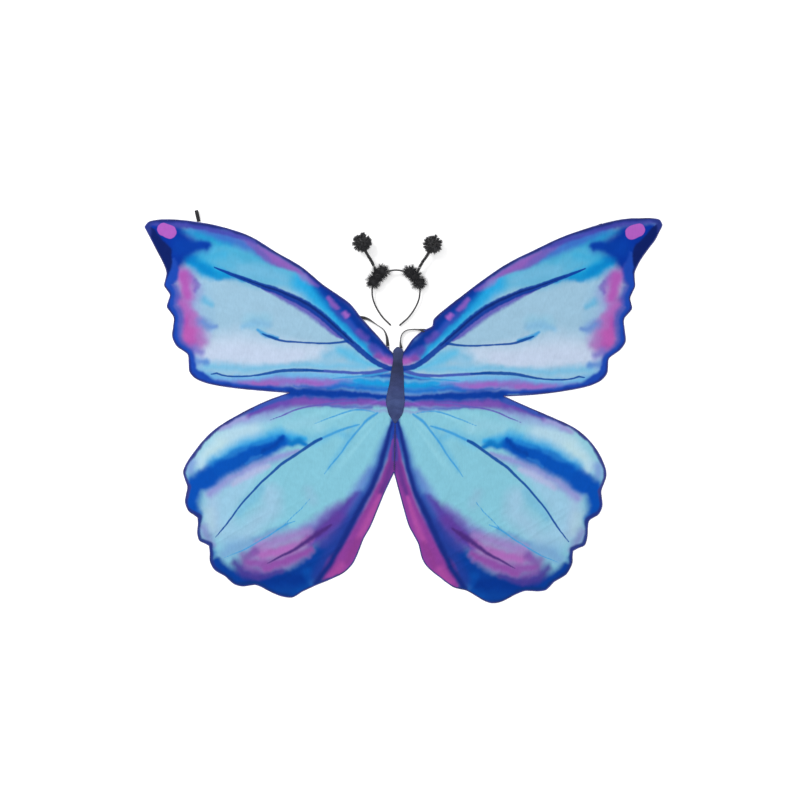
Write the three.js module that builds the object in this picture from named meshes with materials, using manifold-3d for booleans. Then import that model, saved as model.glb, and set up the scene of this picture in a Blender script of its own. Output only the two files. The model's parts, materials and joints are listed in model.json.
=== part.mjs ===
// A child's butterfly-wing cape of printed cloth with its matching antenna headband, laid out flat, face up.
// Millimetres. +X runs across the wings, +Y towards the wearer's head, +Z up from the surface.
// The origin is the middle of the back patch's underside, which lies on the surface.
import * as THREE from "three";
import { mergeVertices } from "three/addons/utils/BufferGeometryUtils.js";
import Module from "manifold-3d";

const wasm = await Module();
wasm.setup();

// ---- driving dimensions ----
const GAP = 0.3; // between pieces that touch
const FOLD_X = 28; // the wings fold along lines this far either side of the middle
const CLOTH_BASE = 3; // underside of the cloth over the straps
const CLOTH_THICK = 1.2;
const RIGHT_LOOP_X = 540;
const RIGHT_WING_RISE = 6.9; // the tucked finger loop lifts the right wing this much at RIGHT_LOOP_X
const HEM_WIDTH = 2.6;
const HEM_THICK = 0.5;
const CURVE_STEPS = 2; // straight steps in each span of a curve
const FINE_STEPS = 4; // the same for narrow bands, whose bends show more
const MERGE_DISTANCE = 1e-3; // vertices nearer than this are one

const PATCH_SIDE = 110;
const PATCH_THICK = 0.8;
const STRAP_WIDTH = 9;
const STRAP_THICK = 1;
const STRAP_BASE = PATCH_THICK + GAP;
const TACK_THICK = CLOTH_BASE - GAP - STRAP_BASE;
const NECK_TACK_LENGTH = 14;
const PATCH_TACK_LENGTH = 12;
const BODY_THICK = 1.6;
const SEAM_WIDTH = 2;

const LOOP_LENGTH = 31;
const LOOP_WIDTH = 9.5;
const LOOP_HALF_HEIGHT = 4; // outside, where the loop stands fully open
const LOOP_WALL = 1;
const LOOP_SEWN_LENGTH = 3; // where the two layers lie shut
const LOOP_OPEN_AT = 12; // from here on the loop stands at its full height
const LOOP_EASE = 5; // length of the bends between the two
const LOOP_BEND_STEPS = 6;
const LOOP_TAIL = 5; // the sewn end, tucked under the cloth's edge
const LOOP_TAIL_THICK = 0.7;
const LOOP_TAIL_INSET = 2;

const HEADBAND_END_Y = 193; // the band's two ends lie here, towards the neckline
const HEADBAND_TILT = THREE.MathUtils.degToRad(6); // the pompons lift the far side
const HEADBAND_TURN = THREE.MathUtils.degToRad(-1.6);
const BAND_HALF_WIDTH = 63;
const BAND_CROWN = 55; // height of the half ellipse above the widest place
const BAND_SIDE = 91; // from the ends up to the widest place
const BAND_THICK = 4;
const BAND_DEPTH = 7;
const BAND_LIFT = BAND_DEPTH / 2 + GAP;
const PUFF_RADIUS = 20;
const PUFF_FLATTEN = 0.76;
const STEM_RADIUS = 3.8;
const STEM_SWAY_GAP = 2.2; // between the fixed foot and the swaying stem
const POMPON_RADIUS = 26;
const BALL_DETAIL = 3;
const BAR_CORNER_STEPS = 5; // straight steps in each quarter of a bar's round section

const CLOTH_TOP = CLOTH_BASE + CLOTH_THICK;

// ---- materials ----
const material = (color, roughness) => new THREE.MeshStandardMaterial({ color, roughness, metalness: 0 });
const printedCloth = () => material(0x8fc6e2, 0.55);
const navyThread = () => material(0x1f2a6a, 0.7);
const darkCloth = () => material(0x353c69, 0.6);
const blackElastic = () => material(0x202024, 0.85);
const blackRibbon = () => material(0x1b1b1f, 0.5);
const blackPlastic = () => material(0x121214, 0.35);
const blackFur = () => material(0x17171a, 0.95);
const blackTinsel = () => material(0x26262b, 0.4);

const model = new THREE.Group();

function addPiece(parent, name, geometry, pieceMaterial) {
  const mesh = new THREE.Mesh(geometry, pieceMaterial);
  mesh.name = name;
  parent.add(mesh);
  return mesh;
}

// ---- geometry helpers ----
// A smooth line through points given as [x, y], as a list of Vector2.
function smoothLine(points, steps = CURVE_STEPS) {
  const knots = points.map(([x, y]) => new THREE.Vector3(x, y, 0));
  const curve = new THREE.CatmullRomCurve3(knots, false, "centripetal");
  return curve.getPoints((points.length - 1) * steps).map((p) => new THREE.Vector2(p.x, p.y));
}

// A flat plate with the given outline, from z = base upward.
function plate(outline, base, thickness) {
  const shape = new THREE.Shape(outline);
  const geometry = new THREE.ExtrudeGeometry(shape, { depth: thickness, bevelEnabled: false });
  return geometry.translate(0, 0, base);
}

// The line moved sideways by a distance, to the left of its direction of travel.
function offsetLine(line, distance) {
  return line.map((point, i) => {
    const before = line[Math.max(i - 1, 0)];
    const after = line[Math.min(i + 1, line.length - 1)];
    const incoming = new THREE.Vector2().subVectors(point, before).normalize();
    const outgoing = new THREE.Vector2().subVectors(after, point).normalize();
    const along = new THREE.Vector2().addVectors(incoming, outgoing).normalize();
    return new THREE.Vector2(point.x - along.y * distance, point.y + along.x * distance);
  });
}

// A band of constant width that follows a line.
function ribbon(line, width, base, thickness) {
  const left = offsetLine(line, width / 2);
  const right = offsetLine(line, -width / 2).reverse();
  return plate([...left, ...right], base, thickness);
}

// A round bar through points in space.
function bar(points, radius, steps) {
  const path = new THREE.CatmullRomCurve3(points, false, "centripetal");
  const section = new THREE.Shape().absarc(0, 0, radius, 0, 2 * Math.PI, false);
  return new THREE.ExtrudeGeometry(section, {
    steps,
    extrudePath: path,
    curveSegments: BAR_CORNER_STEPS,
    bevelEnabled: false,
  });
}

function toSolid(geometry) {
  const bare = geometry.clone();
  bare.deleteAttribute("normal");
  bare.deleteAttribute("uv");
  const merged = mergeVertices(bare, MERGE_DISTANCE);
  return new wasm.Manifold(
    new wasm.Mesh({
      numProp: 3,
      vertProperties: new Float32Array(merged.attributes.position.array),
      triVerts: new Uint32Array(merged.index.array),
    }),
  );
}

function toGeometry(solid) {
  const mesh = solid.getMesh();
  return new THREE.BufferGeometry()
    .setAttribute("position", new THREE.BufferAttribute(new Float32Array(mesh.vertProperties), 3))
    .setIndex(new THREE.BufferAttribute(new Uint32Array(mesh.triVerts), 1));
}

// ---- cape outlines ----
// Each wing's edge runs from the fold line at the neck to the tip, in to the notch, and down to the fold line.
const leftLeadingEdge = [
  [-FOLD_X, 145], [-45, 165], [-90, 215], [-119, 251], [-190, 301], [-245, 347], [-314, 387],
  [-381, 428], [-463, 455], [-517, 465], [-590, 473], [-648, 467], [-660, 453],
];
const leftOuterEdge = [
  [-660, 453], [-631, 397], [-602, 333], [-608, 299], [-593, 274], [-601, 243], [-583, 215],
  [-587, 165], [-574, 138], [-546, 117], [-542, 74], [-526, 54], [-472, 36], [-345, 21], [-279, 16],
];
const leftHindEdge = [
  [-279, 16], [-335, -4], [-411, -41], [-480, -85], [-532, -144], [-558, -192], [-547, -232],
  [-553, -269], [-543, -297], [-520, -313], [-521, -349], [-515, -374], [-490, -387], [-488, -426],
  [-476, -450], [-448, -467], [-424, -488], [-399, -494], [-367, -490], [-335, -505], [-303, -519],
  [-270, -523], [-246, -509], [-206, -490], [-137, -459], [-109, -430], [-83, -369], [-65, -337],
  [-45, -289], [-FOLD_X, -248],
];
// The right wing is spread a little wider, and its leading edge gathers into a small step by the strap.
const rightLeadingEdge = [
  [FOLD_X, 132], [45, 156], [72, 179], [98, 192], [101, 208], [127, 233], [186, 279], [231, 313],
  [295, 356], [367, 392], [444, 428], [526, 455], [598, 473], [648, 476], [697, 472], [704, 458],
];
const rightOuterEdge = [
  [704, 458], [685, 419], [658, 383], [631, 333], [632, 297], [619, 265], [624, 238], [603, 210],
  [607, 152], [590, 127], [563, 106], [559, 70], [540, 47], [490, 29], [367, 11], [287, 7],
];
const rightHindEdge = [
  [287, 7], [342, -18], [419, -51], [479, -81], [523, -123], [552, -176], [556, -204], [543, -244],
  [546, -281], [535, -305], [511, -321], [507, -357], [499, -386], [469, -400], [467, -430],
  [451, -462], [419, -482], [398, -503], [374, -507], [342, -506], [310, -519], [281, -534],
  [253, -538], [229, -529], [188, -505], [156, -497], [120, -472], [84, -442], [70, -418],
  [61, -382], [37, -337], [FOLD_X, -309],
];
const neckline = [
  [-FOLD_X, 145], [-6, 120], [22, 124], [FOLD_X, 132],
];
const lowerNotch = [
  [FOLD_X, -309], [-3, -194], [-FOLD_X, -248],
];

// One wing's whole edge. Joined spans share their end points, so each later span drops its first one.
function wingEdge(spans) {
  const lines = spans.map((span, i) => smoothLine(span).slice(i === 0 ? 0 : 1));
  return lines.flat();
}

// Raises a wing evenly from its fold line outwards.
function liftOutwards(geometry, slope) {
  const position = geometry.attributes.position;
  for (let i = 0; i < position.count; i += 1) {
    const reach = Math.abs(position.getX(i)) - FOLD_X;
    position.setZ(i, position.getZ(i) + slope * reach);
  }
  return geometry;
}

const RIGHT_SLOPE = RIGHT_WING_RISE / (RIGHT_LOOP_X - FOLD_X);
const wings = [
  { side: "left", sign: -1, spans: [leftLeadingEdge, leftOuterEdge, leftHindEdge], slope: 0 },
  { side: "right", sign: 1, spans: [rightLeadingEdge, rightOuterEdge, rightHindEdge], slope: RIGHT_SLOPE },
];
for (const { side, sign, spans, slope } of wings) {
  const edge = wingEdge(spans);
  const shiftFromFold = new THREE.Vector2(sign * GAP, 0);
  const cloth = plate(edge.map((p) => p.clone().add(shiftFromFold)), CLOTH_BASE, CLOTH_THICK);
  addPiece(model, side + "_wing_cloth", liftOutwards(cloth, slope), printedCloth());

  // The hem lies on the cloth's face along its edge, clear of the fold line.
  const hemLine = edge.slice(1, -1);
  const inner = offsetLine(hemLine, -sign * HEM_WIDTH);
  const hem = plate([...hemLine, ...inner.reverse()], CLOTH_TOP + GAP, HEM_THICK);
  addPiece(model, side + "_wing_hem", liftOutwards(hem, slope), navyThread());
}

// ---- middle of the cape ----
const centreOutline = [...neckline, ...lowerNotch].map(([x, y]) => new THREE.Vector2(x, y));
addPiece(model, "centre_cloth", plate(centreOutline, CLOTH_BASE, CLOTH_THICK), printedCloth());

const halfPatch = PATCH_SIDE / 2;
const patchOutline = [
  [-halfPatch, -halfPatch], [halfPatch, -halfPatch], [halfPatch, halfPatch], [-halfPatch, halfPatch],
].map(([x, y]) => new THREE.Vector2(x, y));
addPiece(model, "back_patch", plate(patchOutline, 0, PATCH_THICK), darkCloth());

// The insect's body: a dark spindle, rows of [y, left edge, right edge] from its tail to its head.
const bodyRows = [
  [-42, -16, 18], [-24, -21, 23], [-8, -24, 25], [18, -20, 24], [45, -14, 23], [74, -10, 22],
  [103, -5, 19], [117, -6, 21], [128, -4, 21],
];
const bodyTail = [0, -65];
const bodyHead = [7, 137];
const bodyRight = bodyRows.map(([y, , right]) => [right, y]);
const bodyLeft = bodyRows.map(([y, left]) => [left, y]).reverse();
const bodyOutline = smoothLine([bodyTail, ...bodyRight, bodyHead, ...bodyLeft, bodyTail]).slice(0, -1);
addPiece(model, "butterfly_body", plate(bodyOutline, CLOTH_TOP + GAP, BODY_THICK), darkCloth());

const seamLine = smoothLine([[0, -68], [-1, -130], [-3, -188]], FINE_STEPS);
addPiece(model, "centre_seam", ribbon(seamLine, SEAM_WIDTH, CLOTH_TOP + GAP, HEM_THICK), navyThread());

// ---- shoulder straps ----
// Each elastic strap leaves the neckline, loops out beneath its wing and comes back to a corner of the patch.
const straps = [
  {
    side: "left",
    route: [
      [-19, 139], [-22, 164], [-30, 182], [-49, 196], [-74, 211], [-94, 214], [-130, 205],
      [-160, 178], [-174, 128], [-166, 68], [-132, 12], [-96, -26], [-61, -45],
    ],
    neckTack: [-19, 131],
    patchTack: [-51, -48],
  },
  {
    side: "right",
    route: [
      [16, 133], [14, 150], [18, 170], [29, 180], [47, 183], [84, 180], [120, 174],
      [150, 152], [170, 108], [166, 58], [134, 8], [98, -26], [61, -45],
    ],
    neckTack: [16, 125],
    patchTack: [51, -48],
  },
];
function tack([x, y], width, length) {
  return new THREE.BoxGeometry(width, length, TACK_THICK).translate(x, y, STRAP_BASE + TACK_THICK / 2);
}
for (const { side, route, neckTack, patchTack } of straps) {
  const strap = ribbon(smoothLine(route, FINE_STEPS), STRAP_WIDTH, STRAP_BASE, STRAP_THICK);
  addPiece(model, side + "_shoulder_strap", strap, blackElastic());
  addPiece(model, side + "_strap_neck_tack", tack(neckTack, STRAP_WIDTH, NECK_TACK_LENGTH), navyThread());
  addPiece(model, side + "_strap_patch_tack", tack(patchTack, PATCH_TACK_LENGTH, STRAP_WIDTH), navyThread());
}

// ---- finger loops ----
// Side view of an elastic loop: sewn shut at the origin and standing open towards +X, drawn in the XY plane.
function loopProfile(halfHeight, start, reach, sewnHalfHeight) {
  const leave = start + LOOP_EASE;
  const arrive = LOOP_OPEN_AT - LOOP_EASE;
  const mouth = reach - halfHeight;
  const profile = new THREE.Path();
  profile.moveTo(start, -sewnHalfHeight);
  profile.bezierCurveTo(leave, -sewnHalfHeight, arrive, -halfHeight, LOOP_OPEN_AT, -halfHeight);
  profile.lineTo(mouth, -halfHeight);
  profile.absarc(mouth, 0, halfHeight, -Math.PI / 2, Math.PI / 2, false);
  profile.lineTo(LOOP_OPEN_AT, halfHeight);
  profile.bezierCurveTo(arrive, halfHeight, leave, sewnHalfHeight, start, sewnHalfHeight);
  return profile;
}
function fingerLoop() {
  const outside = loopProfile(LOOP_HALF_HEIGHT, 0, LOOP_LENGTH, LOOP_WALL);
  const inside = loopProfile(LOOP_HALF_HEIGHT - LOOP_WALL, LOOP_SEWN_LENGTH, LOOP_LENGTH - LOOP_WALL, GAP);
  const shape = new THREE.Shape(outside.getPoints(LOOP_BEND_STEPS));
  shape.holes.push(new THREE.Path(inside.getPoints(LOOP_BEND_STEPS)));
  const geometry = new THREE.ExtrudeGeometry(shape, { depth: LOOP_WIDTH, bevelEnabled: false });
  // Profile X becomes the loop's length and profile Y its height.
  return geometry.translate(0, 0, -LOOP_WIDTH / 2).rotateX(Math.PI / 2);
}
const loops = [
  // The left loop sticks out past the leading edge, and its mouth rests on the surface.
  { side: "left", root: [-517, 467, 2.4], heading: 102, dip: -10, tailHeading: 282, tailBase: 1.6 },
  // The right loop is turned in beneath the wing.
  { side: "right", root: [RIGHT_LOOP_X, 461, 5.8], heading: 286, dip: 2.5, tailHeading: 286, tailBase: 8.9 },
];
for (const { side, root, heading, dip, tailHeading, tailBase } of loops) {
  const group = new THREE.Group();
  group.position.set(...root);
  group.rotation.order = "ZYX";
  group.rotation.set(0, THREE.MathUtils.degToRad(dip), THREE.MathUtils.degToRad(heading));
  addPiece(group, side + "_finger_loop", fingerLoop(), blackElastic());
  model.add(group);

  const tail = new THREE.Group();
  tail.position.set(root[0], root[1], tailBase);
  tail.rotation.z = THREE.MathUtils.degToRad(tailHeading);
  const tailShape = new THREE.BoxGeometry(LOOP_TAIL, LOOP_WIDTH, LOOP_TAIL_THICK);
  tailShape.translate(LOOP_TAIL / 2 + LOOP_TAIL_INSET, 0, LOOP_TAIL_THICK / 2);
  addPiece(tail, side + "_loop_tack", tailShape, navyThread());
  model.add(tail);
}

// ---- headband ----
// Drawn in its own plane: X across, Y from the ends to the crown, then laid down and tilted on its pompons.
const headband = new THREE.Group();
headband.position.set(0, HEADBAND_END_Y, BAND_LIFT);
headband.rotation.set(HEADBAND_TILT, 0, HEADBAND_TURN);
model.add(headband);

// One side of the band from its moulded tip up to its widest place; the crown between is a half ellipse.
const tipEnd = [11, 0];
const bandArm = [
  [17.6, 6.3], [34, 22], [51, 47], [61, 72], [BAND_HALF_WIDTH, BAND_SIDE],
];
const crownAt = (angle) => new THREE.Vector2(
  BAND_HALF_WIDTH * Math.cos(angle),
  BAND_SIDE + BAND_CROWN * Math.sin(angle),
);
const rightArm = smoothLine(bandArm);
const leftArm = rightArm.map((p) => new THREE.Vector2(-p.x, p.y)).reverse();
const CROWN_STEPS = 20;
const crown = Array.from({ length: CROWN_STEPS - 1 }, (_, i) => crownAt((Math.PI * (i + 1)) / CROWN_STEPS));
const bandLine = [...rightArm, ...crown, ...leftArm];
const bandSolid = (line, grow) =>
  ribbon(line, BAND_THICK + 2 * grow, -BAND_DEPTH / 2 - grow, BAND_DEPTH + 2 * grow);
addPiece(headband, "headband", bandSolid(bandLine, 0), blackRibbon());

// A moulded tip carries each end of the band on in the same direction.
for (const [side, sign] of [["left", -1], ["right", 1]]) {
  const end = new THREE.Vector2(...tipEnd);
  const start = new THREE.Vector2(...bandArm[0]);
  start.addScaledVector(end.clone().sub(start).normalize(), GAP);
  const line = [start, end].map((p) => new THREE.Vector2(sign * p.x, p.y));
  addPiece(headband, side + "_band_tip", ribbon(line, BAND_THICK, -BAND_DEPTH / 2, BAND_DEPTH), blackPlastic());
}

// Fur puffs hide where the antennae meet the band. Points are for the right side.
const puffLobes = [
  [41, 139], [59, 120],
];
const antennaFoot = [
  [51, 127], [60, 155.1],
];
const stemRoute = [
  [67, 168], [83, 192.4],
];
const pomponCentre = [93, 217];
const puffLobe = () => new THREE.IcosahedronGeometry(PUFF_RADIUS, BALL_DETAIL).scale(1, 1, PUFF_FLATTEN);
const inPlane = (sign, [x, y]) => new THREE.Vector3(sign * x, y, 0);

for (const [side, sign] of [["left", -1], ["right", 1]]) {
  const lobes = puffLobes.map(([x, y]) =>
    toSolid(puffLobe().translate(sign * x, y, 0)),
  );
  const footRoute = antennaFoot.map((point) => inPlane(sign, point));
  const footEnd = footRoute[1].clone();
  const footAxis = footEnd.clone().sub(footRoute[0]).normalize();
  footRoute[0].addScaledVector(footAxis, BAND_THICK / 2 + GAP);
  const bandRoom = toSolid(bandSolid(bandLine, GAP));
  const footRoom = toSolid(bar(footRoute, STEM_RADIUS + GAP, 2));
  const puff = lobes[0].add(lobes[1]).subtract(bandRoom).subtract(footRoom);
  addPiece(headband, side + "_fur_puff", toGeometry(puff), blackFur());
  addPiece(headband, side + "_antenna_foot", bar(footRoute, STEM_RADIUS, 2), blackTinsel());

  const stemStart = footEnd.clone().addScaledVector(footAxis, STEM_SWAY_GAP);
  const stemPoints = [stemStart, ...stemRoute.map((point) => inPlane(sign, point))];
  addPiece(headband, side + "_antenna_stem", bar(stemPoints, STEM_RADIUS, 6), blackTinsel());
  const pompon = new THREE.IcosahedronGeometry(POMPON_RADIUS, BALL_DETAIL);
  pompon.translate(sign * pomponCentre[0], pomponCentre[1], 0);
  addPiece(headband, side + "_pompon", pompon, blackTinsel());
}

export default model;
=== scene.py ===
"""A child's butterfly-wing cape of printed satin and its antenna headband, laid flat, face up, in metres.

Reach is the distance out from the middle of the cape, and height the distance towards the wearer's head.
The print is designed once, in millimetres of reach and height on the left wing. The right wing carries it
spread a little wider. Soft washes are painted on the points of each sheet. The veins have to stay crisp, so
they are carried as distances that the cloth's material turns into lines.
"""
import json
import math

import bmesh
import bpy
import numpy as np
from mathutils import Matrix, Vector, geometry

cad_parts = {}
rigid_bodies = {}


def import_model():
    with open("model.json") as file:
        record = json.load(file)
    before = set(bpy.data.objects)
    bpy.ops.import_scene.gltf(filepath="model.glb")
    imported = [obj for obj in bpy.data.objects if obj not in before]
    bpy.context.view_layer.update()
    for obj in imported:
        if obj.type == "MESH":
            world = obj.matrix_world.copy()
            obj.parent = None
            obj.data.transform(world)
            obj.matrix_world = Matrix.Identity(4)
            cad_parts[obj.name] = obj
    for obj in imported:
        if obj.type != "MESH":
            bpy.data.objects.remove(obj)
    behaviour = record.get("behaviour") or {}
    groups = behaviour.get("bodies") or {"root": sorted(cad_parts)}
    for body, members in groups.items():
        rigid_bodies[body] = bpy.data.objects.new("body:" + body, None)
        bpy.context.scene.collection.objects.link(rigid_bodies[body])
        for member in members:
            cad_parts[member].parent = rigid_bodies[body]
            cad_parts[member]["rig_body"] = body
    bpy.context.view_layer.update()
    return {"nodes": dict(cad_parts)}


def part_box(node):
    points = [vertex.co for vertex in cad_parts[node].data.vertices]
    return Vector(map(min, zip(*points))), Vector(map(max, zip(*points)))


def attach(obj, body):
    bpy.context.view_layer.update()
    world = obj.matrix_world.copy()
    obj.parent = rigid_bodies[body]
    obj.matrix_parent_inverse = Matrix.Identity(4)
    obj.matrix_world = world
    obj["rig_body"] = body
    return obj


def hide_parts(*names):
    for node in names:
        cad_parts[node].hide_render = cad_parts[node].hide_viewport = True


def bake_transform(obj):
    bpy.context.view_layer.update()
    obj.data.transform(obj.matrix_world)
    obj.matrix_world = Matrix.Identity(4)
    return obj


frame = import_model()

MM = 0.001
SEED = 20

# ---- driving dimensions, metres ----
CLOTH_SPACING = 3.4 * MM  # between neighbouring points of a sheet
CLOTH_THICK = 0.4 * MM
SATIN_THREADS = 2600  # in a metre
BODY_THREADS = 2200
CLOTH_LEVEL = 3.3 * MM  # the sheet's face over the straps
EDGE_LEVEL = 1.3 * MM  # and along its free edge
FOLD_REACH = 28 * MM  # from the middle to either fold line
LEFT_LOOP = Vector((-0.517, 0.462))  # where the left finger loop is sewn on
TUCKED_LOOP = Vector((0.545, 0.446))  # middle of the right finger loop beneath the cloth
TUCKED_LOOP_RISE = 7.6 * MM
HEM_WIDTH = 3.0 * MM
STRAP_WIDTH = 9 * MM
STRAP_THICK = 1 * MM
BAND_TILT = math.radians(6)
BAND_TURN = math.radians(-1.6)
BAND_ORIGIN = Vector((0, 0.193, 0.0038))
PUFF_RADIUS = 20 * MM
POMPON_RADIUS = 26 * MM

WINGS = (("left", -1), ("right", 1))

CAMERA_PLACE = (0.013, -0.003, 4.98)  # over the middle of the picture, looking straight down
CAMERA_LENS = 85  # mm
WORLD_LIGHT = 0.78
KEY_PLACE = (-3.0, 3.2, 4.4)
KEY_SIZE = 2.0
KEY_POWER = 155  # watts
FLOOR_REACH = 12
FLOOR_GLOW = 0.34  # the paper is lit from beneath a little, as on a light table


# ---- camera, floor and lights ----
def add_camera():
    data = bpy.data.cameras.new("Camera")
    data.lens = CAMERA_LENS
    data.sensor_width = 36
    camera = bpy.data.objects.new("Camera", data)
    camera.location = CAMERA_PLACE
    bpy.context.scene.collection.objects.link(camera)
    bpy.context.scene.camera = camera


def add_light(name, place, aim, size, power):
    data = bpy.data.lights.new(name, "AREA")
    data.shape = "DISK"
    data.size = size
    data.energy = power
    light = bpy.data.objects.new(name, data)
    light.location = place
    light.rotation_euler = (Vector(aim) - Vector(place)).to_track_quat("-Z", "Y").to_euler()
    bpy.context.scene.collection.objects.link(light)


def add_studio():
    world = bpy.data.worlds.new("Studio")
    world.use_nodes = True
    world.node_tree.nodes["Background"].inputs["Color"].default_value = (1, 1, 1, 1)
    world.node_tree.nodes["Background"].inputs["Strength"].default_value = WORLD_LIGHT
    bpy.context.scene.world = world
    bpy.context.scene.view_settings.view_transform = "Standard"
    add_light("Key", KEY_PLACE, (0, 0, 0), KEY_SIZE, KEY_POWER)


def add_floor():
    mesh = bpy.data.meshes.new("Floor")
    corners = [(x * FLOOR_REACH, y * FLOOR_REACH, 0) for x, y in ((-1, -1), (1, -1), (1, 1), (-1, 1))]
    mesh.from_pydata(corners, [], [(0, 1, 2, 3)])
    material, tree, shader = new_material(
        "Floor_paper", Roughness=0.9, Emission_Color=(1, 1, 1, 1), Emission_Strength=FLOOR_GLOW
    )
    grain = add_node(tree, "ShaderNodeTexNoise", {"Scale": 3.0, "Detail": 4.0})
    shade = ramp(tree, grain.outputs["Fac"], [(0.3, (0.93, 0.93, 0.935)), (0.7, (0.95, 0.95, 0.95))])
    tree.links.new(shade, shader.inputs["Base Color"])
    mesh.materials.append(material)
    floor = bpy.data.objects.new("Floor", mesh)
    bpy.context.scene.collection.objects.link(floor)


# ---- material helpers ----
def new_material(name, **sockets):
    """A node material with its shader's own sockets set; underscores in the names stand for spaces."""
    material = bpy.data.materials.new(name)
    material.use_nodes = True
    shader = material.node_tree.nodes["Principled BSDF"]
    for socket, value in sockets.items():
        shader.inputs[socket.replace("_", " ")].default_value = value
    return material, material.node_tree, shader


def add_node(tree, kind, inputs=None, **settings):
    """A node with its settings made. Each input is linked, if it is another node's output, or else set."""
    node = tree.nodes.new(kind)
    for key, value in settings.items():
        setattr(node, key, value)
    for key, value in (inputs or {}).items():
        if isinstance(value, bpy.types.NodeSocket):
            tree.links.new(value, node.inputs[key])
        else:
            node.inputs[key].default_value = value
    return node


def ramp(tree, factor, stops):
    node = add_node(tree, "ShaderNodeValToRGB", {"Fac": factor})
    elements = node.color_ramp.elements
    while len(elements) < len(stops):
        elements.new(0.5)
    for element, (position, colour) in zip(elements, stops):
        element.position = position
        element.color = (*colour, 1)
    return node.outputs["Color"]


def attribute(tree, name):
    return add_node(tree, "ShaderNodeAttribute", attribute_name=name)


def math_node(tree, operation, first, second=0.0):
    return add_node(tree, "ShaderNodeMath", {0: first, 1: second}, operation=operation).outputs[0]


def fade(tree, value, start, end, low=0.0, high=1.0):
    """Runs smoothly from low where value is at start to high where it is at end."""
    inputs = {"Value": value, "From Min": start, "From Max": end, "To Min": low, "To Max": high}
    return add_node(tree, "ShaderNodeMapRange", inputs, interpolation_type="SMOOTHSTEP").outputs[0]


def mix_colour(tree, factor, first, second, blend="MIX"):
    node = add_node(tree, "ShaderNodeMix", {0: factor}, data_type="RGBA", blend_type=blend)
    for index, value in ((6, first), (7, second)):
        if isinstance(value, bpy.types.NodeSocket):
            tree.links.new(value, node.inputs[index])
        else:
            node.inputs[index].default_value = (*value, 1)
    return node.outputs[2]


def object_place(tree, scale):
    """Object coordinates, enlarged by a number or by one number for each axis."""
    place = add_node(tree, "ShaderNodeTexCoord").outputs["Object"]
    factors = scale if isinstance(scale, tuple) else (scale, scale, scale)
    return add_node(tree, "ShaderNodeMapping", {"Vector": place, "Scale": factors}).outputs["Vector"]


def noise(tree, scale, detail=3.0):
    """Soft noise from 0 to 1 over the object, finer where scale is larger."""
    inputs = {"Vector": object_place(tree, scale), "Scale": 1.0, "Detail": detail}
    return add_node(tree, "ShaderNodeTexNoise", inputs).outputs["Fac"]


def bump(tree, shader, height, distance, strength=1.0, before=None):
    inputs = {"Height": height, "Distance": distance, "Strength": strength}
    if before is not None:
        inputs["Normal"] = before
    normal = add_node(tree, "ShaderNodeBump", inputs).outputs["Normal"]
    tree.links.new(normal, shader.inputs["Normal"])
    return normal


def weave_height(tree, threads):
    """Crossing threads, with the given number in a metre."""
    place = object_place(tree, 1.0)
    scale = threads * math.pi / 10  # a wave texture repeats every pi / 10 at scale 1
    warp = add_node(tree, "ShaderNodeTexWave", {"Vector": place, "Scale": scale}, bands_direction="X")
    weft = add_node(tree, "ShaderNodeTexWave", {"Vector": place, "Scale": scale}, bands_direction="Y")
    return math_node(tree, "MAXIMUM", warp.outputs["Fac"], weft.outputs["Fac"])


# ---- mesh helpers ----
def unit(vectors):
    return vectors / np.maximum(np.linalg.norm(vectors, axis=-1, keepdims=True), 1e-12)


def make_piece(name, points, faces, material, smooth=True):
    """One closed mesh object with its faces turned outwards."""
    mesh = bpy.data.meshes.new(name)
    mesh.from_pydata(np.asarray(points).tolist(), [], faces)
    shape = bmesh.new()
    shape.from_mesh(mesh)
    bmesh.ops.recalc_face_normals(shape, faces=shape.faces)
    shape.to_mesh(mesh)
    shape.free()
    mesh.materials.append(material)
    if smooth:
        mesh.shade_smooth()
        mesh.set_sharp_from_angle(angle=math.radians(50))
    piece = bpy.data.objects.new(name, mesh)
    bpy.context.scene.collection.objects.link(piece)
    return piece


def set_value(piece, name, values):
    layer = piece.data.attributes.new(name, "FLOAT", "POINT")
    layer.data.foreach_set("value", np.asarray(values, np.float32).ravel())


def set_colour(piece, name, colours):
    layer = piece.data.attributes.new(name, "FLOAT_COLOR", "POINT")
    rgba = np.concatenate([colours, np.ones((len(colours), 1))], axis=1)
    layer.data.foreach_set("color", rgba.astype(np.float32).ravel())


def rounded_section(width, height, steps=3):
    """Points round a flat oval: straight along its width, with half-round ends."""
    radius = height / 2
    half = max(width / 2 - radius, 0)
    turns = np.linspace(-math.pi / 2, math.pi / 2, 2 * steps + 1)
    end = np.column_stack([half + radius * np.cos(turns), radius * np.sin(turns)])
    return np.vstack([end, -end])


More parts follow.
